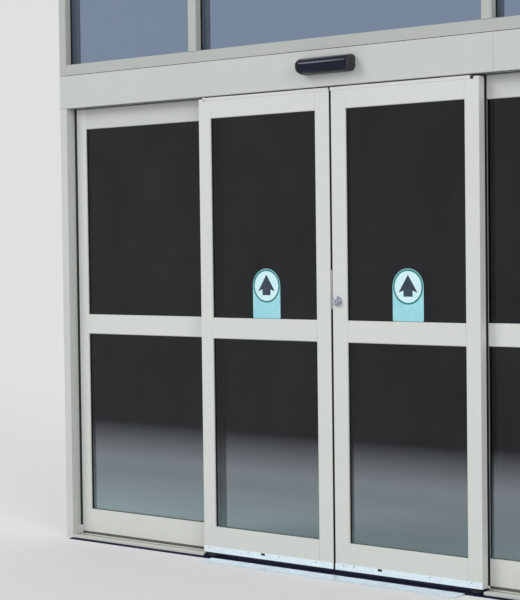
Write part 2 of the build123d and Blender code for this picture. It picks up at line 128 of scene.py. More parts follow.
class Bench:
    """The modelling steps that every piece is made with, each an operator on picked elements."""

    def clear(self) -> None:
        """Leaves edit mode and deselects everything."""
        if bpy.context.object is not None and bpy.context.object.mode != "OBJECT":
            bpy.ops.object.mode_set(mode="OBJECT")
        bpy.ops.object.select_all(action="DESELECT")

    def focus(self, *pieces: Piece) -> None:
        """Selects some pieces alone.

        Args:
            pieces: The pieces. The first one becomes the active one.
        """
        self.clear()
        for piece in pieces:
            piece.select_set(True)
        bpy.context.view_layer.objects.active = pieces[0]

    def take(self) -> Piece:
        """Moves the active piece's place, turn and scale into its mesh.

        Returns:
            The piece.
        """
        piece = bpy.context.object
        self.focus(piece)
        bpy.ops.object.transform_apply(location=True, rotation=True, scale=True)
        return piece

    def pick(self, piece: Piece, element: Element, test: Test = lambda middle, way: True) -> None:
        """Picks points, edges or faces in code.

        Args:
            piece: The piece to pick on.
            element: What is picked.
            test: Takes an element's middle and its direction (a face's normal, an edge's run or a
                point's normal) and says whether it is picked. Without it, all are.
        """
        mesh = piece.data
        for group in (mesh.vertices, mesh.edges, mesh.polygons):
            group.foreach_set("select", [False] * len(group))
        bpy.context.tool_settings.mesh_select_mode = tuple(element is one for one in Element)
        if element is Element.POINT:
            for point in mesh.vertices:
                point.select = test(point.co, point.normal)
            return
        for part in mesh.edges if element is Element.EDGE else mesh.polygons:
            if element is Element.EDGE:
                start, end = (mesh.vertices[number].co for number in part.vertices)
                middle, way = (start + end) / 2, (end - start).normalized()
            else:
                middle, way = part.center, part.normal
            if test(middle, way):
                part.select = True
                for number in part.vertices:
                    mesh.vertices[number].select = True
        if element is Element.FACE:
            chosen = {key for face in mesh.polygons if face.select for key in face.edge_keys}
            for edge in mesh.edges:
                edge.select = edge.key in chosen

    def edit(
        self, piece: Piece, operator: Callable[..., set], whole: bool = False, **settings: object
    ) -> None:
        """Runs one edit-mode operator.

        Args:
            piece: The piece that it works on.
            operator: The operator.
            whole: Whether it works on the whole piece, and not only on what is picked.
            settings: The operator's settings.
        """
        self.focus(piece)
        bpy.ops.object.mode_set(mode="EDIT")
        if whole:
            bpy.ops.mesh.select_all(action="SELECT")
        operator(**settings)
        bpy.ops.object.mode_set(mode="OBJECT")

    def pull(self, piece: Piece, by: Sequence[float], whole: bool = False) -> None:
        """Extrudes what is picked, or the whole piece, so far along each axis."""
        self.edit(
            piece, bpy.ops.mesh.extrude_region_move, whole,
            TRANSFORM_OT_translate={"value": tuple(by)},
        )

    def resize(self, piece: Piece, value: Point, centre: Point) -> None:
        """Scales what is picked about a centre."""
        self.edit(piece, bpy.ops.transform.resize, value=value, center_override=centre)

    def inset(self, piece: Piece, thickness: float, depth: float = 0.0) -> None:
        """Sets new faces in from the rim of what is picked."""
        self.edit(piece, bpy.ops.mesh.inset, thickness=thickness, depth=depth)

    def outwards(self, piece: Piece) -> None:
        """Turns every face of a closed piece outwards."""
        self.edit(piece, bpy.ops.mesh.normals_make_consistent, True, inside=False)

    def thicken(self, piece: Piece, by: Sequence[float]) -> Piece:
        """Pulls a flat face into a closed piece.

        Args:
            piece: The face.
            by: How far it is pulled, along each axis.

        Returns:
            The closed piece.
        """
        self.pick(piece, Element.FACE)
        self.pull(piece, by)
        self.outwards(piece)
        return piece

    def rim(self, piece: Piece, face: float, by: Sequence[float]) -> Piece:
        """Keeps the rim of a flat face and pulls it into a closed ring.

        Args:
            piece: The flat face.
            face: The rim's width.
            by: How far it is pulled, along each axis.

        Returns:
            The ring.
        """
        self.pick(piece, Element.FACE)
        self.inset(piece, face)
        self.edit(piece, bpy.ops.mesh.delete, type="FACE")
        self.pull(piece, by, True)
        self.outwards(piece)
        return piece

    def outline(self, corners: Sequence[Point]) -> Piece:
        """A flat face drawn through corners.

        Args:
            corners: The corners in order.

        Returns:
            The face.
        """
        self.clear()
        bpy.ops.mesh.primitive_circle_add(vertices=len(corners), radius=1.0, fill_type="NGON")
        piece = self.take()
        for point, corner in zip(piece.data.vertices, corners):
            point.co = corner
        piece.data.update()
        return piece

    def bar(self, section: Sequence[Pair], along: Axis, start: float, end: float) -> Piece:
        """A straight moulding: a section pulled along one axis.

        Args:
            section: The section's corners. The two numbers are the other two axes in order.
            along: The axis that it runs along.
            start: Where it begins.
            end: Where it ends.

        Returns:
            The closed piece.
        """
        cut = along.value
        piece = self.outline([(*pair[:cut], start, *pair[cut:]) for pair in section])
        return self.thicken(piece, [end - start if axis is along else 0.0 for axis in Axis])

    def block(self, low: Sequence[float], high: Sequence[float]) -> Piece:
        """A box between two corners, to be shaped further.

        Args:
            low: The lowest corner.
            high: The highest corner.

        Returns:
            The box.
        """
        self.clear()
        middle = [(a + b) / 2 for a, b in zip(low, high)]
        bpy.ops.mesh.primitive_cube_add(size=1.0, location=middle)
        bpy.context.object.scale = [b - a for a, b in zip(low, high)]
        return self.take()

    def turned(self, stations: Sequence[Pair], sides: int) -> Piece:
        """A round piece about Z, drawn up station by station.

        Args:
            stations: Height and radius of each ring, from the foot to the head.
            sides: How many sides its circles have.

        Returns:
            The closed piece.
        """
        self.clear()
        height, radius = stations[0]
        bpy.ops.mesh.primitive_circle_add(
            vertices=sides, radius=radius, fill_type="NGON", location=(0.0, 0.0, height)
        )
        piece = self.take()
        self.pick(piece, Element.FACE)
        for above, wider in stations[1:]:
            self.pull(piece, (0.0, 0.0, above - height))
            self.resize(piece, (wider / radius, wider / radius, 1.0), (0.0, 0.0, above))
            height, radius = above, wider
        self.outwards(piece)
        return piece

    def bevel(self, piece: Piece, offset: float, segments: int, test: Test) -> None:
        """Rounds the edges that pass a test."""
        self.pick(piece, Element.EDGE, test)
        self.edit(
            piece, bpy.ops.mesh.bevel, offset=offset, segments=segments, affect="EDGES",
            clamp_overlap=True,
        )

    def cut(self, piece: Piece, cutter: Piece) -> None:
        """Takes one closed piece out of another.

        Args:
            piece: What is cut.
            cutter: What is taken out of it. It is removed.
        """
        self.focus(piece)
        modifier = piece.modifiers.new("cut", "BOOLEAN")
        modifier.operation = "DIFFERENCE"
        modifier.solver = "EXACT"
        modifier.object = cutter
        bpy.ops.object.modifier_apply(modifier=modifier.name)
        bpy.data.objects.remove(cutter)

    def smooth(self, piece: Piece, degrees: float = 35.0) -> None:
        """Shades faces smoothly where they meet at less than an angle."""
        self.focus(piece)
        bpy.ops.object.shade_smooth_by_angle(angle=math.radians(degrees))

    def move(self, piece: Piece, by: Matrix) -> Piece:
        """Moves and turns a piece in its mesh.

        Args:
            piece: The piece.
            by: The movement.

        Returns:
            The same piece.
        """
        piece.matrix_world = by
        self.focus(piece)
        return self.take()

    def copy(self, piece: Piece, by: Matrix) -> Piece:
        """Copies a piece, with a mesh of its own.

        Args:
            piece: What is copied.
            by: Takes the piece's place to the copy's.

        Returns:
            The copy.
        """
        twin = piece.copy()
        twin.data = piece.data.copy()
        bpy.context.scene.collection.objects.link(twin)
        return self.move(twin, by)

    def join(self, pieces: Sequence[Piece]) -> Piece:
        """Makes several pieces one object.

        Args:
            pieces: The pieces.

        Returns:
            The whole.
        """
        self.focus(*pieces)
        if len(pieces) > 1:
            bpy.ops.object.join()
        return self.take()

    def repeat(self, master: Piece, spots: Iterable[tuple[Point, Facing]]) -> Piece:
        """Sets copies of a piece that points along Z at several places, as one object.

        Args:
            master: The piece that is copied. It is removed.
            spots: Each copy's place and the way that its head looks.

        Returns:
            The joined copies.
        """
        copies = [self.copy(master, Matrix.Translation(place) @ facing.turn) for place, facing in spots]
        bpy.data.objects.remove(master)
        return self.join(copies)


class NodeTree:
    """A node tree, drawn up node by node."""

    def __init__(self, tree: bpy.types.NodeTree) -> None:
        """Starts on a tree."""
        self.nodes, self.links = tree.nodes, tree.links

    def wire(self, node: bpy.types.Node, inputs: Inputs) -> None:
        """Sets or links some of a node's sockets.

        Args:
            node: The node.
            inputs: For each socket, by name or number, a value or an output to link.
        """
        for socket, value in inputs.items():
            if isinstance(value, Output):
                self.links.new(value, node.inputs[socket])
            else:
                node.inputs[socket].default_value = value

    def add(self, kind: str, inputs: Inputs, **settings: object) -> bpy.types.Node:
        """Adds a node.

        Args:
            kind: Its type, without the word that every type starts with.
            inputs: What its sockets get.
            settings: The node's own settings.

        Returns:
            The node.
        """
        node = self.nodes.new("ShaderNode" + kind)
        for setting, value in settings.items():
            setattr(node, setting, value)
        self.wire(node, inputs)
        return node


class Graph(NodeTree):
    """The nodes of one material, read from the object's own coordinates."""

    def __init__(self, name: str) -> None:
        """Starts a material.

        Args:
            name: The material's name.
        """
        self.material = bpy.data.materials.new(name)
        self.material.use_nodes = True
        super().__init__(self.material.node_tree)
        self.place = self.add("TexCoord", {}).outputs["Object"]

    def shade(self, inputs: Inputs) -> bpy.types.Material:
        """Sets or links the shader's sockets, and returns the finished material."""
        self.wire(self.nodes["Principled BSDF"], inputs)
        return self.material

    def noise(
        self, scale: float, detail: float = 3.0, roughness: float = 0.5,
        stretch: Optional[Sequence[float]] = None,
    ) -> Output:
        """A noise value about 0.5.

        Args:
            scale: How fine it is.
            detail: How many finer layers it has.
            roughness: How strong they are.
            stretch: A scale of its own along each axis, if it has one.

        Returns:
            The value.
        """
        place = self.place
        if stretch:
            place = self.add("Mapping", {"Vector": place, "Scale": stretch}).outputs["Vector"]
        inputs = {"Vector": place, "Scale": scale, "Detail": detail, "Roughness": roughness}
        return self.add("TexNoise", inputs).outputs["Fac"]

    def height(self) -> Output:
        """The height over the floor, in metres."""
        return self.add("SeparateXYZ", {"Vector": self.place}).outputs["Z"]

    def upward(self) -> Output:
        """How much the surface looks up, from -1 to 1."""
        normal = self.add("NewGeometry", {}).outputs["Normal"]
        return self.add("SeparateXYZ", {"Vector": normal}).outputs["Z"]

    def span(
        self, value: Output, low: float, high: float, to_low: float = 0.0, to_high: float = 1.0
    ) -> Output:
        """Takes a value's range to another range, held at both ends."""
        inputs = {
            "Value": value, "From Min": low, "From Max": high, "To Min": to_low, "To Max": to_high,
        }
        return self.add("MapRange", inputs).outputs["Result"]

    def calculate(self, operation: str, first: Output, second: Output) -> Output:
        """One arithmetic step on two values."""
        return self.add("Math", {0: first, 1: second}, operation=operation).outputs[0]

    def blend(self, amount: Output, first: object, second: object) -> Output:
        """Mixes two colours, each a plain colour or an output."""
        first, second = (
            (*colour, 1.0) if isinstance(colour, tuple) else colour for colour in (first, second)
        )
        return self.add("Mix", {0: amount, 6: first, 7: second}, data_type="RGBA").outputs[2]

    def bump(
        self, height: Output, strength: float, distance: float, under: Optional[Output] = None
    ) -> Output:
        """A normal roughened by a height.

        Args:
            height: The height, from 0 to 1.
            strength: How much of it shows.
            distance: What a height of 1 is, in metres.
            under: A coarser normal that this one lies on.

        Returns:
            The normal.
        """
        inputs = {"Height": height, "Strength": strength, "Distance": distance}
        if under is not None:
            inputs["Normal"] = under
        return self.add("Bump", inputs).outputs["Normal"]


@dataclass(frozen=True)
class Surface:
    """What a painted, drawn, moulded or printed finish has.

    Attributes:
        name: The material's name.
        colour: Its colour.
        worn: Its colour where it is soiled, dull, dusty or faded.
        roughness: Its mean roughness.
    """

    name: str
    colour: Colour
    worn: Colour
    roughness: float

    def rough(self, graph: Graph, value: Output, less: float, more: float) -> Output:
        """Roughness that a value between 0.3 and 0.7 takes from less to more than the mean."""
        return graph.span(value, 0.3, 0.7, self.roughness - less, self.roughness + more)


@dataclass(frozen=True)
class PowderCoat(Surface):
    """Powder-coated aluminium: fine orange peel, faint mottling, run-off streaks, floor splash."""

    def build(self) -> bpy.types.Material:
        """Makes the finish.

        Returns:
            The material.
        """
        graph = Graph(self.name)
        paler = tuple(min(1.0, part * 1.035) for part in self.colour)
        coat = graph.blend(graph.span(graph.noise(2.6, 4.0, 0.55), 0.32, 0.68), self.colour, paler)
        streaks = graph.span(graph.noise(1.0, 3.0, 0.6, (30.0, 30.0, 0.9)), 0.50, 0.80, 0.0, 0.14)
        near_floor = graph.span(graph.height(), 0.02, 0.60, 1.0, 0.0)
        splash = graph.span(graph.noise(13.0, 5.0, 0.6), 0.25, 0.75, 0.0, 0.30)
        ledges = graph.span(graph.upward(), 0.6, 0.95, 0.0, 0.30)
        for dirt in (streaks, graph.calculate("MULTIPLY", near_floor, splash), ledges):
            coat = graph.blend(dirt, coat, self.worn)
        broad = graph.bump(graph.noise(9.0, 2.0), 0.10, 0.0006)
        return graph.shade({
            "Base Color": coat,
            "Roughness": self.rough(graph, graph.noise(55.0, 3.0), 0.05, 0.07),
            "Normal": graph.bump(graph.noise(620.0, 2.0), 0.16, 0.00012, broad),
            "IOR": 1.5,
        })


@dataclass(frozen=True)
class DoorGlass:
    """Tinted float glass with wiping marks and a film that is paler low on the pane: partly dust,
    partly painted light.

    Attributes:
        name: The material's name.
        clean: The tint of a clean pane.
        dusty_and_painted_light: The tint low on the pane: partly dust, partly painted light of the lit
            floor behind it.
        painted_light_foot: A paler tint at the foot, painted light that lifts the shaded floor seen
            through it.
        low: Height under which the pane is dusty all over.
        high: Height over which only wiping marks are left.
        index: Refractive index, lower where a coating cuts the pane's reflections.
    """

    name: str
    clean: Colour
    dusty_and_painted_light: Colour
    painted_light_foot: Colour
    low: float
    high: float
    index: float
    # Heights over which the paler foot, which is painted light, fades out.
    foot: ClassVar[Pair] = (0.17, 0.36)

    def build(self) -> bpy.types.Material:
        """Makes the finish.

        Returns:
            The material.
        """
        graph = Graph(self.name)
        wiped = graph.span(graph.noise(3.2, 4.0, 0.6, (1.0, 1.0, 0.55)), 0.36, 0.75, 0.0, 0.035)
        # Low on the pane the film is partly dust and partly painted light; the paler foot is painted
        # light.
        dust_and_light_by_height = graph.span(graph.height(), self.low, self.high, 1.0, 0.0)
        foot = graph.span(graph.height(), *self.foot, 1.0, 0.0)
        dust = graph.blend(foot, self.dusty_and_painted_light, self.painted_light_foot)
        film = graph.calculate("MAXIMUM", wiped, dust_and_light_by_height)
        return graph.shade({
            "Base Color": graph.blend(film, self.clean, dust),
            "Roughness": graph.span(graph.noise(7.0, 5.0, 0.7), 0.45, 0.75, 0.012, 0.055),
            "Transmission Weight": 1.0,
            "IOR": self.index,
        })


@dataclass(frozen=True)
class DrawnMetal(Surface):
    """Metal with fine lines along the way it was drawn or brushed, and worn patches.

    Attributes:
        lines: Scale of the lines along each axis; the smallest is the way they run.
        metallic: How metallic it is.
        edge: Tint of what it mirrors at a low angle.
    """

    lines: Point
    metallic: float = 1.0
    edge: Colour = (1.0, 1.0, 1.0)

    def build(self) -> bpy.types.Material:
        """Makes the finish.

        Returns:
            The material.
        """
        graph = Graph(self.name)
        patches = graph.span(graph.noise(24.0, 5.0, 0.65), 0.36, 0.72)
        drawn = graph.noise(1.0, 4.0, 0.6, self.lines)
        return graph.shade({
            "Base Color": graph.blend(patches, self.colour, self.worn),
            "Roughness": self.rough(graph, drawn, 0.06, 0.10),
            "Normal": graph.bump(drawn, 0.20, 0.00012),
            "Metallic": self.metallic,
            "Specular Tint": (*self.edge, 1.0),
        })


@dataclass(frozen=True)
class Moulded(Surface):
    """Moulded plastic or rubber: an even colour with a fine grain and a little dust on top.

    Attributes:
        grain: Scale of the grain.
        relief: How much the grain shows.
        mirror: How strongly it mirrors, 0.5 for common plastic.
    """

    grain: float
    relief: float
    mirror: float = 0.5

    def build(self) -> bpy.types.Material:
        """Makes the finish.

        Returns:
            The material.
        """
        graph = Graph(self.name)
        cloudy = graph.span(graph.noise(15.0, 4.0), 0.35, 0.75, 0.0, 0.30)
        top = graph.span(graph.upward(), 0.45, 0.95, 0.0, 0.45)
        dust = graph.calculate("ADD", cloudy, top)
        less, more = self.roughness * 0.20, self.roughness * 0.25
        return graph.shade({
            "Base Color": graph.blend(dust, self.colour, self.worn),
            "Roughness": self.rough(graph, graph.noise(38.0, 3.0), less, more),
            "Normal": graph.bump(graph.noise(self.grain, 2.0), self.relief, 0.0001),
            "Specular IOR Level": self.mirror,
        })


@dataclass(frozen=True)
class Vinyl(Surface):
    """Printed sign film: a slightly uneven print with a soft sheen."""

    def build(self) -> bpy.types.Material:
        """Makes the finish.

        Returns:
            The material.
        """
        graph = Graph(self.name)
        fading = graph.span(graph.noise(30.0, 4.0), 0.35, 0.7)
        return graph.shade({
            "Base Color": graph.blend(fading, self.colour, self.worn),
            "Roughness": self.rough(graph, graph.noise(90.0, 2.0), 0.07, 0.07),
            "Normal": graph.bump(graph.noise(240.0, 2.0), 0.08, 0.0001),
        })


class Finish(Enum):
    """Every finish on the door."""

    COAT = PowderCoat("powder_coat", (0.628, 0.648, 0.612), (0.590, 0.585, 0.510), 0.44)
    # The header, jamb and transom coats are the same paint as COAT, darkened as painted shade: shade
    # from above the door, under the header on the sidelites' top rails, and beside the wall at the
    # jambs.
    HEADER_COAT = PowderCoat("header_powder_coat_painted_shade", (0.526, 0.552, 0.538), (0.470, 0.475, 0.435), 0.42)
    JAMB_COAT = PowderCoat("jamb_powder_coat_painted_shade", (0.548, 0.567, 0.535), (0.528, 0.524, 0.460), 0.44)
    TRANSOM_COAT = PowderCoat("transom_powder_coat_painted_shade", (0.427, 0.444, 0.419), (0.388, 0.393, 0.351), 0.44)
    # The door glass's tint low on the panes is partly painted light, and its paler foot is painted
    # light.
    DOOR_GLASS = DoorGlass(
        "door_glass", (0.003, 0.003, 0.005), (0.240, 0.268, 0.292), (0.340, 0.440, 0.470),
        0.42, 0.61, 1.38,
    )
    LIGHT_GLASS = DoorGlass(
        "transom_glass", (0.22, 0.29, 0.42), (0.30, 0.37, 0.50), (0.30, 0.37, 0.50),
        0.0, 0.1, 1.50,
    )
    # Its blue tint is a painted reflection of the sky on the bright metal.
    MILL = DrawnMetal(
        "mill_aluminium", (0.74, 0.82, 0.90), (0.61, 0.68, 0.76), 0.36, (3.0, 700.0, 700.0), 0.5
    )
    # The leaves' bright foot strips: their blue-white colour is a painted reflection of the sky.
    STRIP = DrawnMetal(
        "bright_strip_painted_sky_reflection", (0.84, 0.96, 1.00), (0.76, 0.88, 0.96), 0.30, (3.0, 700.0, 700.0), 0.3
    )
    # Dark anodised threshold, made darker and navy as painted shade of the gap under the leaves; its
    # blue edge tint is a painted reflection.
    THRESHOLD = DrawnMetal(
        "dark_threshold_painted_shade", (0.006, 0.010, 0.034), (0.018, 0.026, 0.058), 0.50,
        (4.0, 500.0, 500.0), 0.80, (0.10, 0.14, 0.40),
    )
    ZINC = DrawnMetal("zinc_plate", (0.62, 0.63, 0.62), (0.50, 0.49, 0.44), 0.36, (240.0, 240.0, 240.0))
    # Its blue is a painted reflection of the sky on the lock's face.
    NICKEL = DrawnMetal(
        "satin_nickel_painted_sky_reflection", (0.46, 0.51, 0.60), (0.40, 0.43, 0.48), 0.25, (60.0, 60.0, 60.0)
    )
    # Darker than the steel is, as painted shade of the meeting gap that the guard sits in.
    GUARD = DrawnMetal("guard_steel_painted_shade", (0.40, 0.42, 0.40), (0.32, 0.32, 0.29), 0.45, (60.0, 60.0, 60.0))
    DARK_STEEL = DrawnMetal(
        "dark_screw", (0.05, 0.05, 0.055), (0.11, 0.10, 0.09), 0.42, (90.0, 90.0, 90.0)
    )
    NYLON = Moulded("nylon", (0.030, 0.030, 0.032), (0.09, 0.09, 0.085), 0.45, 900.0, 0.12)
    GLOSS = Moulded(
        "sensor_gloss", (0.0010, 0.0040, 0.0180), (0.0050, 0.0090, 0.0230), 0.13, 700.0, 0.02, 0.26
    )
    MATTE = Moulded("sensor_matte", (0.016, 0.015, 0.015), (0.036, 0.035, 0.034), 0.52, 1400.0, 0.30)
    RUBBER = Moulded("black_rubber", (0.010, 0.010, 0.011), (0.030, 0.030, 0.029), 0.62, 1100.0, 0.15)
    # Its faint blue is painted shade, matched to the shade under the leaves where the sweep hangs.
    PILE = Moulded("black_pile", (0.007, 0.010, 0.016), (0.022, 0.026, 0.034), 0.90, 2300.0, 0.90)
    # Brown grey of the sidelites' head strips, painted shade under the header.
    DUSTY_SEAL = Moulded("head_strip_painted_shade", (0.190, 0.183, 0.155), (0.250, 0.238, 0.200), 0.85, 1500.0, 0.40)
    GREY_PILE = Moulded("grey_pile", (0.105, 0.100, 0.088), (0.165, 0.152, 0.130), 0.90, 2300.0, 0.90)
    SIGN_FILM = Vinyl("sign_film", (0.30, 0.66, 0.73), (0.36, 0.71, 0.78), 0.35)
    SIGN_DISC = Vinyl("sign_disc", (0.60, 0.85, 0.90), (0.66, 0.89, 0.92), 0.35)
    SIGN_RING = Vinyl("sign_ring", (0.006, 0.170, 0.165), (0.015, 0.215, 0.215), 0.35)
    SIGN_ARROW = Vinyl("sign_arrow", (0.012, 0.026, 0.050), (0.030, 0.050, 0.085), 0.35)


class FinishShop:
    """Makes each finish once and hands it out."""

    def __init__(self) -> None:
        """Starts with no finish made."""
        self.made: dict[Finish, bpy.types.Material] = {}

    def coat(self, piece: Piece, finish: Finish) -> None:
        """Gives a piece its finish, which is made the first time it is asked for.

        Args:
            piece: The piece.
            finish: Its finish.
        """
        if finish not in self.made:
            self.made[finish] = finish.value.build()
        piece.data.materials.clear()
        piece.data.materials.append(self.made[finish])

    def dress(
        self, piece: Piece, name: str, finish: Finish, body: Body, slot: Optional[Slot] = None
    ) -> None:
        """Names a new piece, gives it its finish, hangs it on its body and reports it.

        Args:
            piece: The new piece.
            name: Its name, also given to its mesh.
            finish: Its finish.
            body: The body that it rides on.
            slot: The record's slot that the finish belongs to, if there is one. It is not used.
        """
        piece.name = piece.data.name = name
        self.coat(piece, finish)
        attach(piece, body.value)
        log.info("%s: %d faces on %s", piece.name, len(piece.data.polygons), body.value)


@dataclass
class SubAssembly:
    """What every sub-assembly has: the bench that it is made on and the shop of its finishes."""

    bench: Bench
    shop: FinishShop


@dataclass
class CarriedNodes:
    """The CAD nodes, which keep their shapes and get their finishes here."""

    shop: FinishShop
    by_slot: ClassVar[dict[Slot, Finish]] = {
        Slot.PAINT: Finish.COAT, Slot.GLASS: Finish.DOOR_GLASS, Slot.MILL: Finish.MILL,
        Slot.DARK: Finish.THRESHOLD, Slot.ZINC: Finish.ZINC, Slot.NICKEL: Finish.NICKEL,
        Slot.NYLON: Finish.NYLON, Slot.PLASTIC: Finish.GLOSS, Slot.RUBBER: Finish.RUBBER,
    }
    own: ClassVar[dict[Finish, tuple[str, ...]]] = {
        # The jamb, header and transom coats give these nodes the frame paint with painted shade.
        Finish.JAMB_COAT: (
            "left_jamb", "right_jamb", "left_sidelite_top_rail", "right_sidelite_top_rail",
        ),
        Finish.HEADER_COAT: (
            "header_cover_main", "header_cover_right", "header_end_caps", "header_housing",
        ),
        Finish.TRANSOM_COAT: ("transom_sill", "transom_posts", "transom_head"),
        Finish.LIGHT_GLASS: ("transom_glass",),
        Finish.STRIP: ("left_leaf_bottom_strip", "right_leaf_bottom_strip"),
    }

    def build(self) -> None:
        """Gives each node its own finish, or else its slot's."""
        slots = {part["node"]: part["material_slot"] for part in frame["record"]["subparts"]}
        by_node = {node: finish for finish, nodes in self.own.items() for node in nodes}
        for node, piece in frame["nodes"].items():
            finish = by_node.get(node, self.by_slot[Slot(slots[node])])
            self.shop.coat(piece, finish)
            log.info("%s: %s", node, finish.name)


@dataclass(frozen=True)
class Opening:
    """A daylight opening seen from the front, by its sides."""

    left: float
    right: float
    bottom: float
    top: float

    @property
    def size(self) -> Pair:
        """Its width and height."""
        return self.right - self.left, self.top - self.bottom

    @property
    def middle(self) -> Pair:
        """X and Z of its middle."""
        return (self.left + self.right) / 2, (self.bottom + self.top) / 2


@dataclass
class GlazingGaskets(SubAssembly):
    """Black wedge gaskets between the glass and its beads, outside and inside."""

    face: float = 0.0025
    height: float = 0.0040
    rounding: float = 0.0013
    foot_sink: float = 0.0024
    mullion_centre: float = 0.802
    mullion_face: float = 0.050
    jamb_inner: float = 1.644

    def daylight(self, panel: str, stiles: tuple[str, str]) -> list[Opening]:
        """The daylight openings of a panel, between its stiles and rails.

        Args:
            panel: The panel's name.
            stiles: What its two stiles are called.

        Returns:
            The lower and the upper opening.
        """
        ordered = sorted((corner_of(f"{panel}_{one}") for one in stiles), key=lambda box: box[0].x)
        left, right = ordered[0][1].x, ordered[1][0].x
        rails = [corner_of(f"{panel}_{level}_rail") for level in ("bottom", "mid", "top")]
        return [
            Opening(left, right, low[1].z - self.foot_sink, high[0].z)
            for low, high in zip(rails, rails[1:])
        ]

    def transom_daylight(self) -> list[Opening]:
        """The daylight openings of the transom.

        Returns:
            The three openings, from left to right.
        """
        near = self.mullion_centre - self.mullion_face / 2
        far = self.mullion_centre + self.mullion_face / 2
        spans = ((-self.jamb_inner, -far), (-near, near), (far, self.jamb_inner))
        bottom, top = corner_of("transom_sill")[1].z, corner_of("transom_head")[0].z
        return [Opening(left, right, bottom, top) for left, right in spans]

    def ring(self, opening: Opening, glass_y: float, outward: int) -> Piece:
        """A gasket ring that lies on one side of a pane.

        Args:
            opening: The daylight opening that it lines.
            glass_y: Y of the pane's surface.
            outward: -1 on the outside and 1 on the inside.

        Returns:
            The closed ring.
        """
        self.bench.clear()
        (x, z), (width, height) = opening.middle, opening.size
        bpy.ops.mesh.primitive_plane_add(
            size=1.0, location=(x, glass_y, z), rotation=(-outward * math.pi / 2, 0.0, 0.0)
        )
        bpy.context.object.scale = (width, height, 1.0)
        ring = self.bench.rim(self.bench.take(), self.face, (0.0, outward * self.height, 0.0))
        crest = glass_y + outward * self.height
        reach, rise = (size / 2 - self.face + TINY for size in (width, height))
        self.bench.bevel(
            ring, self.rounding, 2,
            lambda centre, way: abs(centre.y - crest) < TINY and abs(way.y) < 0.5
            and abs(centre.x - x) < reach and abs(centre.z - z) < rise,
        )
        return ring

    def build(self) -> None:
        """Makes the rings of every panel and of the transom."""
        leaf, lite = ("lead_stile", "trail_stile"), ("nose_stile", "outer_stile")
        jobs = [
            (panel, body, self.daylight(panel, stiles))
            for panel, body, stiles in (
                ("left_leaf", Body.LEFT_LEAF, leaf), ("right_leaf", Body.RIGHT_LEAF, leaf),
                ("left_sidelite", Body.FRAME, lite), ("right_sidelite", Body.FRAME, lite),
            )
        ]
        jobs.append(("transom", Body.FRAME, self.transom_daylight()))
        for panel, body, openings in jobs:
            low, high = corner_of(f"{panel}_glass")
            gasket = self.bench.join([
                self.ring(opening, glass_y, outward)
                for opening in openings
                for outward, glass_y in ((-1, low.y), (1, high.y))
            ])
            self.shop.dress(gasket, f"{panel}_gaskets", Finish.RUBBER, body, Slot.RUBBER)


@dataclass
class Fasteners(SubAssembly):
    """Screw and bolt heads, each modelled once and copied."""

    sunk: float = 0.0006
    washer_thick: float = 0.0015
    crown: ClassVar[tuple[Pair, ...]] = ((0.45, 1.0), (0.82, 0.86), (1.0, 0.60))
    recess: ClassVar[tuple[Pair, ...]] = ((1.05, 0.26), (0.26, 1.05))

    def cross_head(self, radius: float, height: float) -> Piece:
        """A pan head with a cross recess, its underside at Z = 0.

        Args:
            radius: The head's radius.
            height: How far it stands proud.

        Returns:
            The head.
        """
        stations = [(-self.sunk, radius)]
        stations += [(height * up, radius * out) for up, out in self.crown]
        head = self.bench.turned(stations, 18)
        for across, along in self.recess:
            reach, width = radius * across / 2, radius * along / 2
            arm = self.bench.block((-reach, -width, height * 0.35), (reach, width, height * 1.5))
            self.bench.cut(head, arm)
        self.bench.smooth(head)
        return head

    def hex_bolt(self, radius: float, height: float) -> Piece:
        """A hexagon head on a round washer, its underside at Z = 0.

        Args:
            radius: The head's radius.
            height: How far it stands over its washer.

        Returns:
            The bolt.
        """
        thick, rim = self.washer_thick, radius * 1.45
        washer = self.bench.turned(((0.0, rim), (thick * 0.8, rim), (thick, radius * 1.38)), 28)
        head = self.bench.turned(
            ((thick, radius), (thick + height * 0.88, radius), (thick + height, radius * 0.88)), 6
        )
        return self.bench.join([head, washer])

    def screws(
        self, name: str, size: Pair, spots: Iterable[tuple[Point, Facing]], finish: Finish,
        body: Body = Body.FRAME,
    ) -> None:
        """Sets equal screw heads on a body, as one piece.

        Args:
            name: The piece's name.
            size: Radius and height of a head.
            spots: Each head's place and the way that it looks.
            finish: Their finish.
            body: The body that they ride on.
        """
        screws = self.bench.repeat(self.cross_head(*size), spots)
        self.shop.dress(screws, name, finish, body, Slot.ZINC)


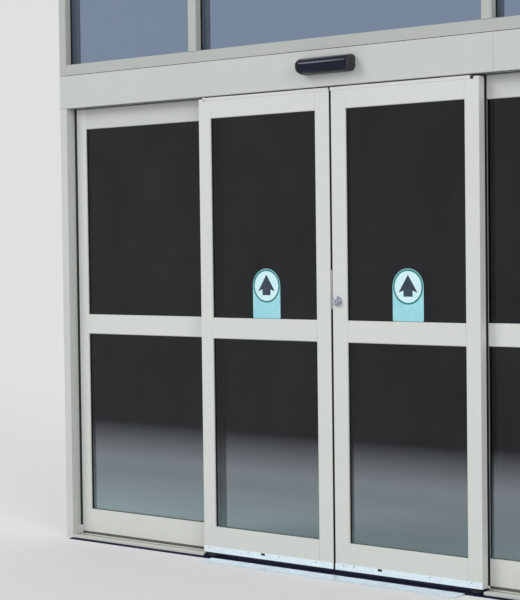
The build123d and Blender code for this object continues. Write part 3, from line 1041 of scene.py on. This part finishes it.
@dataclass
class LeafFittings(SubAssembly):
    """What is screwed to or set into one leaf: foot strip screws, sweep, top trim, corner stop.

    Attributes:
        side: -1 for the left leaf and 1 for the right leaf.
        strip_screws: Each foot strip screw's distance from the doorway's middle.
        plug_reach: The drain plug's distance from the doorway's middle.
        trim_start: Where the head trim starts, beside the meeting line.
        stop_lit_or_shaded_finish: The corner stop's finish, bright zinc as painted light on the left
            leaf and black as painted shade on the right.
    """

    side: int
    strip_screws: tuple[float, ...]
    plug_reach: float
    trim_start: float
    stop_lit_or_shaded_finish: Finish
    screw_size: Pair = (0.0042, 0.0014)
    screw_level: float = 0.0475
    plug_half_length: float = 0.0120
    plug_half_height: float = 0.0052
    plug_depths: Pair = (-0.0009, 0.0010)
    plug_rim: Pair = (0.0012, -0.0005)
    trim_height: float = 0.0095
    trim_rise: float = 0.0044
    trim_depth: float = 0.0016
    trim_lip: float = 0.0018
    trim_lap: float = 0.0004
    trim_shoulder: float = 0.55
    trim_chamfers: Pair = (0.0010, 0.0008)
    trim_rounding: float = 0.0006
    trim_end: float = 0.724
    stop_start: float = 0.001
    stop_width: float = 0.0150
    stop_height: float = 0.0105
    stop_rise: float = 0.0055
    stop_depths: Pair = (-0.0022, 0.0005)
    stop_rounding: float = 0.0018
    stop_edge: float = 0.0006
    bolt_size: Pair = (0.0055, 0.0038)
    bolt_reaches: Pair = (0.742, 0.757)
    bolt_depth: float = 0.015
    sweep_reach: Pair = (0.012, 0.759)
    sweep_depths: Pair = (0.0006, 0.0050)
    sweep_neck: float = 0.0030
    sweep_bottom: float = 0.0175
    sweep_ribs: int = 4
    rib_inset: Pair = (0.0004, 0.0009)

    @property
    def body(self) -> Body:
        """The leaf's body."""
        return Body.RIGHT_LEAF if self.side > 0 else Body.LEFT_LEAF

    @property
    def name(self) -> str:
        """The leaf's name."""
        return self.body.value

    def foot_strip(self) -> None:
        """Screws along the bright foot strip, and the dark oval plug in it."""
        face, level = corner_of(f"{self.name}_bottom_strip")[0].y, self.screw_level
        spots = [((self.side * reach, face, level), Facing.OUTSIDE) for reach in self.strip_screws]
        Fasteners(self.bench, self.shop).screws(
            f"{self.name}_strip_screws", self.screw_size, spots, Finish.ZINC, self.body
        )
        x, half, up = self.side * self.plug_reach, self.plug_half_length, self.plug_half_height
        plug = self.bench.block(
            (x - half, face + self.plug_depths[0], level - up),
            (x + half, face + self.plug_depths[1], level + up),
        )
        self.bench.bevel(plug, up * 0.98, 6, lambda middle, way: abs(way.y) > 0.9)
        self.bench.pick(plug, Element.FACE, lambda middle, way: way.y < -0.9)
        self.bench.inset(plug, *self.plug_rim)
        self.bench.smooth(plug)
        self.shop.dress(plug, f"{self.name}_strip_plug", Finish.RUBBER, self.body, Slot.RUBBER)

    def top_trim(self) -> None:
        """Painted lip that wraps the head of the leaf's face and rises over the gap."""
        top = corner_of(f"{self.name}_top_rail")[1].z
        crest, foot = top + self.trim_rise, top - self.trim_height
        back, front = OUTSIDE_FACE + self.trim_lap, OUTSIDE_FACE - self.trim_depth
        shoulder = OUTSIDE_FACE - self.trim_depth * self.trim_shoulder
        lip, under = OUTSIDE_FACE + self.trim_lip, top - self.trim_lap
        low_chamfer, high_chamfer = self.trim_chamfers
        section = (
            (back, foot), (shoulder, foot), (front, foot + low_chamfer),
            (front, crest - high_chamfer), (shoulder, crest), (lip, crest), (lip, under),
            (back, under),
        )
        start, end = sorted((self.trim_start, self.side * self.trim_end))
        trim = self.bench.bar(section, Axis.X, start, end)
        self.bench.bevel(
            trim, self.trim_rounding, 2,
            lambda middle, way: abs(way.x) < 0.1 and middle.y < OUTSIDE_FACE,
        )
        self.shop.dress(trim, f"{self.name}_top_trim", Finish.COAT, self.body, Slot.PAINT)

    def corner_stop(self) -> None:
        """Black stop beside the trim's end, and the bolts in the corner behind it."""
        top = corner_of(f"{self.name}_top_rail")[1].z
        near, far = sorted(
            self.side * (self.trim_end + reach) for reach in (self.stop_start, self.stop_width)
        )
        front, back = (OUTSIDE_FACE + depth for depth in self.stop_depths)
        stop = self.bench.block(
            (near, front, top - self.stop_height), (far, back, top + self.stop_rise)
        )
        self.bench.bevel(stop, self.stop_rounding, 3, lambda middle, way: abs(way.y) > 0.9)
        self.bench.bevel(stop, self.stop_edge, 2, lambda middle, way: middle.y < front + TINY)
        self.bench.smooth(stop)
        self.shop.dress(stop, f"{self.name}_corner_stop", self.stop_lit_or_shaded_finish, self.body, Slot.PLASTIC)
        bolt = Fasteners(self.bench, self.shop).hex_bolt(*self.bolt_size)
        spots = [
            ((self.side * reach, OUTSIDE_FACE + self.bolt_depth, top), Facing.UP)
            for reach in self.bolt_reaches
        ]
        self.shop.dress(
            self.bench.repeat(bolt, spots), f"{self.name}_corner_bolts", Finish.DARK_STEEL,
            self.body, Slot.ZINC,
        )

    def sweep(self) -> None:
        """Ribbed brush sweep under the leaf's outside wall."""
        foot = corner_of(f"{self.name}_bottom_rail")[0].z
        neck = foot - self.sweep_neck
        drop = (neck - self.sweep_bottom) / self.sweep_ribs
        side = [(0.0, foot), (0.0, neck)]
        side += [
            (self.rib_inset[step % 2], neck - drop * step) for step in range(1, self.sweep_ribs + 1)
        ]
        front, back = (OUTSIDE_FACE + depth for depth in self.sweep_depths)
        section = [(front + inset, z) for inset, z in side]
        section += [(back - inset, z) for inset, z in reversed(side)]
        start, end = sorted(self.side * reach for reach in self.sweep_reach)
        sweep = self.bench.bar(section, Axis.X, start, end)
        self.shop.dress(sweep, f"{self.name}_floor_sweep", Finish.PILE, self.body, Slot.RUBBER)

    def build(self) -> None:
        """Makes every fitting of the leaf."""
        self.foot_strip()
        self.top_trim()
        self.corner_stop()
        self.sweep()


@dataclass
class ApproachSign(SubAssembly):
    """A door sign on a leaf's glass: pale film with a ring and an arrow, and no words.

    Attributes:
        body: The leaf that carries it.
        centre_x: The sign's middle.
    """

    body: Body
    centre_x: float
    radius: float = 0.0795
    centre_z: float = 1.2918
    foot: float = -0.1494
    foot_corner: float = 0.004
    ring_radius: float = 0.0768
    ring_face: float = 0.0080
    pane_gap: float = 0.00025
    film_thickness: float = 0.00030
    print_relief: float = 0.00012
    arc_steps: int = 40
    arrow: ClassVar[tuple[Pair, ...]] = (
        (0.0, 0.0530), (-0.0490, -0.0250), (-0.0235, -0.0160), (-0.0235, -0.0425),
        (0.0235, -0.0425), (0.0235, -0.0160), (0.0490, -0.0250),
    )

    def film_outline(self) -> list[Pair]:
        """The film's outline, round at the top and cut off at the foot.

        Returns:
            Its corners about the sign's middle.
        """
        angles = [math.pi * step / self.arc_steps for step in range(self.arc_steps + 1)]
        arc = [(self.radius * math.cos(turn), self.radius * math.sin(turn)) for turn in angles]
        side, corner = self.radius, self.foot_corner
        return arc + [
            (-side, self.foot + corner), (corner - side, self.foot),
            (side - corner, self.foot), (side, self.foot + corner),
        ]

    def flat(self, corners: Sequence[Pair], front: float) -> Piece:
        """A flat face cut to an outline about the sign's middle."""
        places = [(self.centre_x + x, front, self.centre_z + z) for x, z in corners]
        return self.bench.outline(places)

    def round(self, radius: float, front: float) -> Piece:
        """A round flat face about the sign's middle.

        Args:
            radius: Its radius.
            front: Its Y.

        Returns:
            The face.
        """
        self.bench.clear()
        bpy.ops.mesh.primitive_circle_add(
            vertices=self.arc_steps * 2, radius=radius, fill_type="NGON",
            location=(self.centre_x, front, self.centre_z), rotation=(math.pi / 2, 0.0, 0.0),
        )
        return self.bench.take()

    def build(self) -> None:
        """Makes the film, the disc, the ring and the arrow, each a little prouder."""
        thick, relief = self.film_thickness, self.print_relief
        front = corner_of(f"{self.body.value}_glass")[0].y - self.pane_gap - thick
        through = (0.0, thick + 2 * relief, 0.0)
        arrow = self.bench.thicken(self.flat(self.arrow, front - relief), through)
        film = self.bench.thicken(self.flat(self.film_outline(), front), (0.0, thick, 0.0))
        disc = self.bench.thicken(
            self.round(self.ring_radius - self.ring_face / 2, front - relief / 2),
            (0.0, thick + relief, 0.0),
        )
        ring = self.bench.rim(self.round(self.ring_radius, front - relief), self.ring_face, through)
        for piece, part, finish in (
            (film, "film", Finish.SIGN_FILM), (disc, "disc", Finish.SIGN_DISC),
            (ring, "ring", Finish.SIGN_RING), (arrow, "arrow", Finish.SIGN_ARROW),
        ):
            self.shop.dress(piece, f"{self.body.value}_sign_{part}", finish, self.body)


@dataclass
class LockCylinder(SubAssembly):
    """The key cylinder: a turned collar, the plug in it and its keyway."""

    x: float = 0.033
    z: float = 1.226
    sides: int = 56
    guard_foot: float = 1.190
    guard_head: float = 1.366
    guard_rounding: float = 0.0004
    keyway: tuple[Point, Point] = ((-0.00125, -0.0046, 0.0106), (0.00125, 0.0046, 0.0240))
    keyway_rounding: float = 0.0011
    ward: tuple[Point, Point] = ((-0.0020, 0.0004, 0.0110), (-0.0010, 0.0022, 0.0240))
    collar: ClassVar[tuple[Pair, ...]] = (
        (0.0, 0.0230), (0.0012, 0.0230), (0.0022, 0.0224), (0.0120, 0.0200), (0.0129, 0.0194),
        (0.0132, 0.0186), (0.0132, 0.0158), (0.0120, 0.0154), (0.0080, 0.0150),
    )
    plug: ClassVar[tuple[Pair, ...]] = (
        (0.0079, 0.0144), (0.0160, 0.0144), (0.0169, 0.0140), (0.0174, 0.0131),
        (0.0174, 0.0100), (0.0170, 0.0096),
    )
    guard_section: ClassVar[tuple[Pair, ...]] = (
        (-0.0002, 0.0006), (0.0014, 0.0006), (0.0014, 0.0016), (0.0100, 0.0016),
        (0.0100, 0.0027), (-0.0002, 0.0027),
    )

    def guard(self) -> None:
        """Steel guard on the left leaf, which covers the meeting line beside the lock."""
        edge = corner_of("left_leaf_lead_stile")[1].x
        section = [(edge + across, OUTSIDE_FACE + back) for across, back in self.guard_section]
        plate = self.bench.bar(section, Axis.Z, self.guard_foot, self.guard_head)
        self.bench.bevel(plate, self.guard_rounding, 2, lambda middle, way: abs(way.z) > 0.9)
        # The guard's grey is painted shade of the meeting gap.
        self.shop.dress(plate, "left_leaf_lock_guard", Finish.GUARD, Body.LEFT_LEAF, Slot.NICKEL)

    def build(self) -> None:
        """Makes the collar and the plug, which stand for the CAD cylinder."""
        place = Matrix.Translation((self.x, OUTSIDE_FACE, self.z)) @ Facing.OUTSIDE.turn
        collar = self.bench.turned(self.collar, self.sides)
        plug = self.bench.turned(self.plug, self.sides)
        slot = self.bench.block(*self.keyway)
        self.bench.bevel(slot, self.keyway_rounding, 3, lambda middle, way: abs(way.z) > 0.9)
        self.bench.cut(plug, slot)
        self.bench.cut(plug, self.bench.block(*self.ward))
        for piece, name in ((collar, "right_leaf_lock_collar"), (plug, "right_leaf_lock_plug")):
            self.bench.smooth(piece, 40.0)
            self.bench.move(piece, place)
            self.shop.dress(piece, name, Finish.NICKEL, Body.RIGHT_LEAF, Slot.NICKEL)
            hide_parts("right_leaf_lock_cylinder")
        self.guard()


@dataclass
class PresenceSensor(SubAssembly):
    """A presence sensor: a glossy cover between two matte end caps, fixed to the header.

    Attributes:
        node: The CAD node that it stands for.
        facing_in: True for the sensor inside the building.
        section: The cover's section, in Y from the wall and in Z.
        cap_steps: How far each ring of an end cap reaches, its size and how slanting it is.
    """

    node: str
    facing_in: bool
    centre_z: float = 2.2765
    half_cover: float = 0.1400
    cover_rounding: float = 0.0130
    corner_rounding: float = 0.0085
    lens_rim: float = 0.0035
    lens_step: Pair = (0.0006, -0.0007)
    off_wall: float = -0.001
    cap_start: float = 0.1140
    cap_slant: float = 0.0240
    cap_growth: float = 1.030
    cap_lean: float = 0.16
    rim_rise: float = 0.20
    plate: Point = (0.1280, 0.0026, 0.0385)
    plate_rounding: float = 0.0120
    plate_edge: float = 0.0008
    section: ClassVar[tuple[Pair, ...]] = (
        (0.0, -0.0375), (-0.0308, -0.0375), (-0.0515, -0.0270), (-0.0560, 0.0120),
        (-0.0350, 0.0315), (0.0, 0.0375),
    )
    cap_steps: ClassVar[tuple[Point, ...]] = (
        (0.0050, 0.990, 0.88), (0.0110, 0.960, 0.70), (0.0165, 0.915, 0.53),
        (0.0215, 0.855, 0.37), (0.0255, 0.785, 0.24), (0.0285, 0.705, 0.14),
        (0.0308, 0.610, 0.07), (0.0322, 0.490, 0.02),
    )

    def rounded_outline(self, x: float, grow: float, slant: float = 0.0, rise: float = 0.0) -> Piece:
        """The section at one X, with its outer corners rounded.

        Args:
            x: Where the section stands at the wall.
            grow: How much larger than the cover it is.
            slant: How much further out it stands at the front.
            rise: How much further out it stands for each metre up.

        Returns:
            One face.
        """
        depth = -min(y for y, _ in self.section)
        places = [(x - slant * y / depth + rise * z, y * grow, z * grow) for y, z in self.section]
        face = self.bench.outline(places)
        self.bench.pick(face, Element.POINT, lambda place, way: place.y < self.off_wall)
        self.bench.edit(
            face, bpy.ops.mesh.bevel, offset=self.corner_rounding, segments=4, affect="VERTICES"
        )
        return face

    def cover(self) -> Piece:
        """The glossy cover, with its lens set in behind a fine step.

        Returns:
            The cover, about the sensor's middle.
        """
        half = self.half_cover
        cover = self.bench.thicken(self.rounded_outline(-half, 1.0), (2 * half, 0.0, 0.0))
        self.bench.bevel(
            cover, self.cover_rounding, 4,
            lambda middle, way: abs(abs(middle.x) - half) < TINY and middle.y < self.off_wall,
        )
        self.bench.pick(
            cover, Element.FACE,
            lambda middle, way: way.y < -0.9 and abs(way.x) < 0.1 and middle.z < 0.0,
        )
        self.bench.inset(cover, self.lens_rim)
        self.bench.inset(cover, *self.lens_step)
        self.bench.smooth(cover, 30.0)
        return cover

    def cap(self, side: int) -> Piece:
        """A domed end cap whose slanting rim straightens towards its end.

        Args:
            side: -1 for the cap at the left end and 1 for the other.

        Returns:
            The cap, about the sensor's middle.
        """
        start = side * self.cap_start
        cap = self.rounded_outline(start, self.cap_growth, side * self.cap_slant, side * self.rim_rise)
        self.bench.pick(cap, Element.FACE)
        reach, size, slant = 0.0, 1.0, 1.0
        for step, smaller, straighter in self.cap_steps:
            self.bench.pull(cap, (side * (step - reach), 0.0, 0.0))
            ratio = smaller / size
            value = (straighter / slant, 1.0 - self.cap_lean * (1.0 - ratio), ratio)
            self.bench.resize(cap, value, (start + side * step, 0.0, 0.0))
            reach, size, slant = step, smaller, straighter
        self.bench.outwards(cap)
        self.bench.smooth(cap, 42.0)
        return cap

    def backplate(self) -> Piece:
        """The plate between the cover and the header.

        Returns:
            The plate, about the sensor's middle.
        """
        across, thick, up = self.plate
        plate = self.bench.block((-across, -thick, -up), (across, 0.0, up))
        self.bench.bevel(plate, self.plate_rounding, 5, lambda middle, way: abs(way.y) > 0.9)
        self.bench.bevel(plate, self.plate_edge, 2, lambda middle, way: middle.y < TINY - thick)
        self.bench.smooth(plate)
        return plate

    def build(self) -> None:
        """Makes the cover, the caps and the backplate, which stand for the CAD sensor."""
        low, high = corner_of(self.node)
        turn = Matrix.Rotation(math.pi, 4, "Z") if self.facing_in else Matrix.Identity(4)
        wall = low.y if self.facing_in else high.y
        move = Matrix.Translation(((low.x + high.x) / 2, wall, self.centre_z)) @ turn
        for piece, part, finish in (
            (self.cover(), "cover", Finish.GLOSS),
            (self.bench.join([self.cap(-1), self.cap(1)]), "caps", Finish.MATTE),
            (self.backplate(), "backplate", Finish.MATTE),
        ):
            self.bench.move(piece, move)
            self.shop.dress(piece, f"{self.node}_{part}", finish, Body.FRAME, Slot.PLASTIC)
            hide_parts(self.node)


@dataclass
class FrameFittings(SubAssembly):
    """Weatherstrips and fasteners on the frame. Sections are in Y and Z from where each stands."""

    screw_size: Pair = (0.0045, 0.0016)
    nose_screw_size: Pair = (0.0052, 0.0018)
    nose_screw_levels: Pair = (0.630, 1.254)
    nose_screw_shift: float = -0.004
    cap_screw_inset: float = 0.018
    plate_screw_height: float = 0.0010
    plate_screw_start: float = -0.735
    plate_screw_pitch: float = 0.245
    plate_screw_insets: Pair = (0.0145, 0.0130)
    clear_half_width: float = 1.643
    header_pile_depth: float = 0.0040
    inner_pile_end: float = 0.6980
    nose_pile_reach: float = 0.7605
    block_height: float = 0.0460
    block_depth: float = 0.0120
    block_rounding: float = 0.0040
    head_strip_height: float = 0.0040
    head_strip_chamfers: Pair = (0.0006, 0.0008)
    foot_strip_depth: float = 0.0020
    foot_strip_chamfers: Pair = (0.0008, 0.0015)
    upstand_depth: float = 0.0035
    sill_start: float = 0.7700
    insert_offset: float = 0.0400
    insert_proud: float = 0.0008
    plate_proud: float = 0.0007
    plate_thick: float = 0.0024
    plate_edge: float = 0.0012
    plate_rounding: float = 0.0010
    header_pile: ClassVar[tuple[Pair, ...]] = (
        (0.0, 0.0), (0.0, -0.0008), (0.0018, -0.0010), (0.0022, -0.0024), (0.0034, -0.0028),
        (0.0046, -0.0024), (0.0050, -0.0010), (0.0070, -0.0008), (0.0070, 0.0),
    )
    inner_pile: ClassVar[tuple[Pair, ...]] = (
        (-0.0050, 0.0), (-0.0050, -0.0014), (-0.0038, -0.0018), (-0.0034, -0.0077),
        (-0.0025, -0.0085), (-0.0016, -0.0077), (-0.0012, -0.0018), (0.0, -0.0014), (0.0, 0.0),
    )
    sealant: ClassVar[tuple[Pair, ...]] = (
        (0.0001, -0.0016), (0.0001, 0.0011), (0.0012, 0.0001), (0.0012, -0.0006),
    )
    upstand: ClassVar[tuple[Pair, ...]] = (
        (0.0, 0.0), (0.0, 0.0032), (0.0008, 0.0040), (0.0035, 0.0040), (0.0035, 0.0),
    )
    insert: ClassVar[tuple[Pair, ...]] = (
        (-0.0028, -0.0027), (-0.0028, -0.0004), (-0.00196, 0.0),
        (0.00196, 0.0), (0.0028, -0.0004), (0.0028, -0.0027),
    )
    nose_pile: ClassVar[tuple[Pair, ...]] = (
        (-0.0040, 0.0), (-0.0040, 0.0014), (-0.0018, 0.0020), (-0.0014, 0.0058), (0.0, 0.0064),
        (0.0014, 0.0058), (0.0018, 0.0020), (0.0110, 0.0014), (0.0110, 0.0),
    )

    def strips(
        self, name: str, section: Sequence[Pair], at: Pair, spans: Sequence[Pair], finish: Finish,
        slot: Slot = Slot.RUBBER,
    ) -> None:
        """Makes mouldings of one section, which run along X, as one piece.

        Args:
            name: The piece's name.
            section: The section's corners.
            at: Y and Z of where the section stands.
            spans: Start and end of each moulding.
            finish: Their finish.
            slot: The record's slot.
        """
        corners = [(at[0] + y, at[1] + z) for y, z in section]
        bars = [self.bench.bar(corners, Axis.X, start, end) for start, end in spans]
        self.shop.dress(self.bench.join(bars), name, finish, Body.FRAME, slot)

    def header_strips(self) -> None:
        """Grey pile strip over the leaves' faces, which darkens the gap under the header as painted
        shade, and the sealant between header and transom.
        """
        low, high = corner_of("header_cover_main")[0], corner_of("header_cover_right")[1]
        joint, half = corner_of("transom_sill")[0].z, self.clear_half_width
        self.strips(
            "header_shade_pile_strip", self.header_pile,
            (OUTSIDE_FACE + self.header_pile_depth, low.z), [(-half, half)], Finish.GREY_PILE,
        )
        self.strips(
            "transom_joint_sealant", self.sealant, (OUTSIDE_FACE, joint), [(low.x, high.x)],
            Finish.RUBBER,
        )

    def inner_strip(self) -> None:
        """Pile strip under the header, behind the leaves' heads."""
        seal, top = corner_of("sidelite_seals")[0].y, corner_of("header_cover_main")[0].z
        end = self.inner_pile_end
        self.strips("header_inner_pile", self.inner_pile, (seal, top), [(-end, end)], Finish.PILE)

    def both(self, start: float, end: float) -> list[Pair]:
        """The same span left and right of the doorway's middle."""
        return [(-end, -start), (start, end)]

    def lite_strips(self) -> None:
        """Strips over and under the sidelites, in front of the seal; the head strips' brown grey is
        painted shade under the header.
        """
        nose, outer = (corner_of(f"right_sidelite_{one}_stile") for one in ("nose", "outer"))
        face, seal = corner_of("right_sidelite_top_rail")[0].y, corner_of("sidelite_seals")[0].y
        sill_top = corner_of("sidelite_sills")[1].z
        depth, height = seal - face, self.head_strip_height
        foot_cut, head_cut = self.head_strip_chamfers
        head = (
            (depth, 0.0), (foot_cut, 0.0), (0.0, foot_cut), (0.0, height - head_cut),
            (head_cut, height), (depth, height),
        )
        # The head strips' colour is painted shade under the header.
        self.strips(
            "sidelite_head_strips", head, (face, nose[1].z), self.both(nose[0].x, outer[1].x),
            Finish.DUSTY_SEAL,
        )
        depth, height = self.foot_strip_depth, nose[0].z - sill_top
        back_cut, down_cut = self.foot_strip_chamfers
        foot = (
            (0.0, 0.0), (-depth, 0.0), (-depth, height - down_cut), (back_cut - depth, height),
            (0.0, height),
        )
        self.strips(
            "sidelite_foot_strips", foot, (seal, sill_top), self.both(self.sill_start, outer[1].x),
            Finish.GREY_PILE,
        )

    def sill_strips(self) -> None:
        """Low painted upstands on the sills, and rubber inserts in their middle groove."""
        low, high = corner_of("sidelite_sills")
        spans = self.both(self.sill_start, high.x)
        front = corner_of("sidelite_seals")[0].y - self.foot_strip_depth - self.upstand_depth
        self.strips(
            "sidelite_sill_upstands", self.upstand, (front, high.z), spans, Finish.COAT, Slot.PAINT
        )
        self.strips(
            "sidelite_sill_inserts", self.insert,
            (low.y + self.insert_offset, high.z + self.insert_proud), spans, Finish.RUBBER,
        )

    def nose_piles(self) -> None:
        """Pile strips on the sidelites' nose stiles, behind the leaves."""
        strips = []
        for panel, side in (("left", -1), ("right", 1)):
            low, high = corner_of(f"{panel}_sidelite_nose_stile")
            section = [
                (side * (self.nose_pile_reach + across), low.y - out)
                for across, out in self.nose_pile
            ]
            strips.append(self.bench.bar(section, Axis.Z, low.z, high.z))
        pair = self.bench.join(strips)
        self.shop.dress(pair, "sidelite_pile_strips", Finish.PILE, Body.FRAME, Slot.RUBBER)

    def post_plates(self) -> None:
        """Painted plates that close the outer posts' open tops."""
        low, high = corner_of("transom_posts")
        inner = corner_of("transom_head")
        top, edge = high.z + self.plate_proud, self.plate_edge
        plates = []
        for start, end in ((low.x, inner[0].x), (inner[1].x, high.x)):
            plate = self.bench.block(
                (start + edge, low.y + edge, top - self.plate_thick),
                (end - edge, high.y - edge, top),
            )
            self.bench.bevel(
                plate, self.plate_rounding, 2, lambda middle, way: abs(middle.z - top) < TINY
            )
            plates.append(plate)
        pair = self.bench.join(plates)
        # The transom coat's darker tone is painted shade.
        self.shop.dress(pair, "post_top_plates", Finish.TRANSOM_COAT, Body.FRAME, Slot.PAINT)

    def foot_blocks(self) -> None:
        """Painted blocks that close the gap between jamb and sidelite at the sill."""
        foot, back = corner_of("sidelite_sills")[1].z, corner_of("sidelite_seals")[0].y
        crest, front = foot + self.block_height, back - self.block_depth
        stile, jamb = corner_of("right_sidelite_outer_stile")[1].x, corner_of("right_jamb")[0].x
        blocks = []
        for start, end in self.both(stile, jamb):
            block = self.bench.block((start, front, foot), (end, back, crest))
            self.bench.bevel(
                block, self.block_rounding, 4,
                lambda middle, way: abs(middle.z - crest) < TINY and abs(middle.y - front) < TINY,
            )
            self.bench.smooth(block)
            blocks.append(block)
        pair = self.bench.join(blocks)
        self.shop.dress(pair, "sidelite_foot_blocks", Finish.COAT, Body.FRAME, Slot.PAINT)

    def screws(self) -> None:
        """Screws of the sidelites' nose stiles, the header's end caps and the threshold."""
        fasteners = Fasteners(self.bench, self.shop)
        low, high = corner_of("right_sidelite_nose_stile")
        y = (low.y + high.y) / 2 + self.nose_screw_shift
        spots = [
            ((x, y, z), facing)
            for z in self.nose_screw_levels
            for x, facing in ((-low.x, Facing.RIGHT), (low.x, Facing.LEFT))
        ]
        fasteners.screws("sidelite_nose_screws", self.nose_screw_size, spots, Finish.DARK_STEEL)
        (low, high), inset = corner_of("header_end_caps"), self.cap_screw_inset
        spots = [
            ((x, y, z), facing)
            for y in (low.y + inset, high.y - inset)
            for z in (low.z + inset, high.z - inset)
            for x, facing in ((low.x, Facing.LEFT), (high.x, Facing.RIGHT))
        ]
        fasteners.screws("header_cap_screws", self.screw_size, spots, Finish.ZINC)
        (low, high), (front, back) = corner_of("threshold"), self.plate_screw_insets
        spots = [
            ((self.plate_screw_start + self.plate_screw_pitch * number, y, high.z), Facing.UP)
            for number in range(7)
            for y in (low.y + front, high.y - back)
        ]
        size = (self.screw_size[0], self.plate_screw_height)
        fasteners.screws("threshold_screws", size, spots, Finish.DARK_STEEL)

    def build(self) -> None:
        """Makes every fitting of the frame."""
        self.header_strips()
        self.lite_strips()
        self.sill_strips()
        self.inner_strip()
        self.post_plates()
        self.foot_blocks()
        self.nose_piles()
        self.screws()


@dataclass
class Studio:
    """The floor, the soft light and the camera at the photograph's viewpoint."""

    bench: Bench
    place: Point = (4.3000, -5.9755, 1.4718)
    yaw: float = 38.5029
    pitch: float = -1.8526
    roll: float = 0.6988
    focal_pixels: float = 1641.04
    long_side_pixels: float = 600.0
    sensor: float = 36.0
    backdrop: Colour = (0.745, 0.745, 0.740)
    floor_colour: Colour = (0.850, 0.850, 0.845)
    sky: Colour = (0.590, 0.605, 0.620)
    sun_from: Point = (-0.589, -0.600, 0.541)
    sun_strength: float = 1.20
    fill_from: Point = (0.860, -0.440, 0.260)
    fill_strength: float = 0.78
    sun_width: float = 26.0
    clipping: Pair = (0.05, 200.0)
    floor_size: float = 160.0
    floor_level: float = -0.0004

    def camera(self) -> None:
        """Stands the camera where the photograph was taken from."""
        data = bpy.data.cameras.new("viewpoint")
        data.sensor_width = self.sensor
        data.lens = self.focal_pixels / self.long_side_pixels * self.sensor
        data.clip_start, data.clip_end = self.clipping
        camera = bpy.data.objects.new("viewpoint", data)
        bpy.context.scene.collection.objects.link(camera)
        camera.matrix_world = (
            Matrix.Translation(self.place)
            @ Matrix.Rotation(math.radians(self.yaw), 4, "Z")
            @ Matrix.Rotation(math.radians(90.0 + self.pitch), 4, "X")
            @ Matrix.Rotation(math.radians(-self.roll), 4, "Z")
        )
        bpy.context.scene.camera = camera

    def floor(self) -> None:
        """A wide pale floor."""
        self.bench.clear()
        place = (0.0, 0.0, self.floor_level)
        bpy.ops.mesh.primitive_plane_add(size=self.floor_size, location=place)
        floor = self.bench.take()
        floor.name = floor.data.name = "studio_floor"
        graph = Graph("studio_floor")
        paler = tuple(part * 1.012 for part in self.floor_colour)
        floor.data.materials.append(graph.shade({
            "Base Color": graph.blend(graph.noise(0.8, 3.0), self.floor_colour, paler),
            "Roughness": 1.0,
            "Specular IOR Level": 0.0,
        }))

    def world(self) -> None:
        """Even sky light, with the pale backdrop for the camera, gloss and glass."""
        world = bpy.data.worlds.new("studio")
        bpy.context.scene.world = world
        world.use_nodes = True
        world.node_tree.nodes.clear()
        tree = NodeTree(world.node_tree)
        rays = tree.add("LightPath", {}).outputs
        seen = rays["Is Camera Ray"]
        for ray in ("Is Glossy Ray", "Is Transmission Ray"):
            seen = tree.add("Math", {0: seen, 1: rays[ray]}, operation="MAXIMUM").outputs[0]
        light, backdrop = (
            tree.add("Background", {"Color": (*colour, 1.0)}).outputs[0]
            for colour in (self.sky, self.backdrop)
        )
        mix = tree.add("MixShader", {0: seen, 1: light, 2: backdrop})
        tree.add("OutputWorld", {"Surface": mix.outputs[0]})

    def sun(self, name: str, source: Point, strength: float) -> None:
        """Soft daylight from one side.

        Args:
            name: The light's name.
            source: The way to where it comes from.
            strength: Its strength.
        """
        data = bpy.data.lights.new(name, "SUN")
        data.energy = strength
        data.angle = math.radians(self.sun_width)
        sun = bpy.data.objects.new(name, data)
        bpy.context.scene.collection.objects.link(sun)
        turn = (-Vector(source)).to_track_quat("-Z", "Y").to_matrix().to_4x4()
        sun.matrix_world = Matrix.Translation(Vector(source) * 10.0) @ turn

    def build(self) -> None:
        """Sets up the whole studio."""
        bpy.context.scene.view_settings.view_transform = "Standard"
        self.camera()
        self.floor()
        self.world()
        self.sun("daylight", self.sun_from, self.sun_strength)
        self.sun("fill", self.fill_from, self.fill_strength)


def main() -> None:
    """Builds every sub-assembly."""
    logging.basicConfig(level=logging.INFO, format="%(message)s")
    bench, shop = Bench(), FinishShop()
    Studio(bench).build()
    CarriedNodes(shop).build()
    GlazingGaskets(bench, shop).build()
    # The same corner stop is zinc on the left leaf as painted light and black on the right as painted
    # shade.
    for side, screws, plug, trim, stop in (
        (-1, (0.102, 0.3135, 0.495, 0.728), 0.407, -0.0090, Finish.ZINC),
        (1, (0.053, 0.107, 0.505, 0.713), 0.2465, 0.0018, Finish.RUBBER),
    ):
        LeafFittings(bench, shop, side, screws, plug, trim, stop).build()
    ApproachSign(bench, shop, Body.LEFT_LEAF, -0.3775).build()
    ApproachSign(bench, shop, Body.RIGHT_LEAF, 0.3990).build()
    LockCylinder(bench, shop).build()
    PresenceSensor(bench, shop, "entrance_sensor", False).build()
    PresenceSensor(bench, shop, "interior_sensor", True).build()
    FrameFittings(bench, shop).build()


if __name__ == "__main__":
    main()
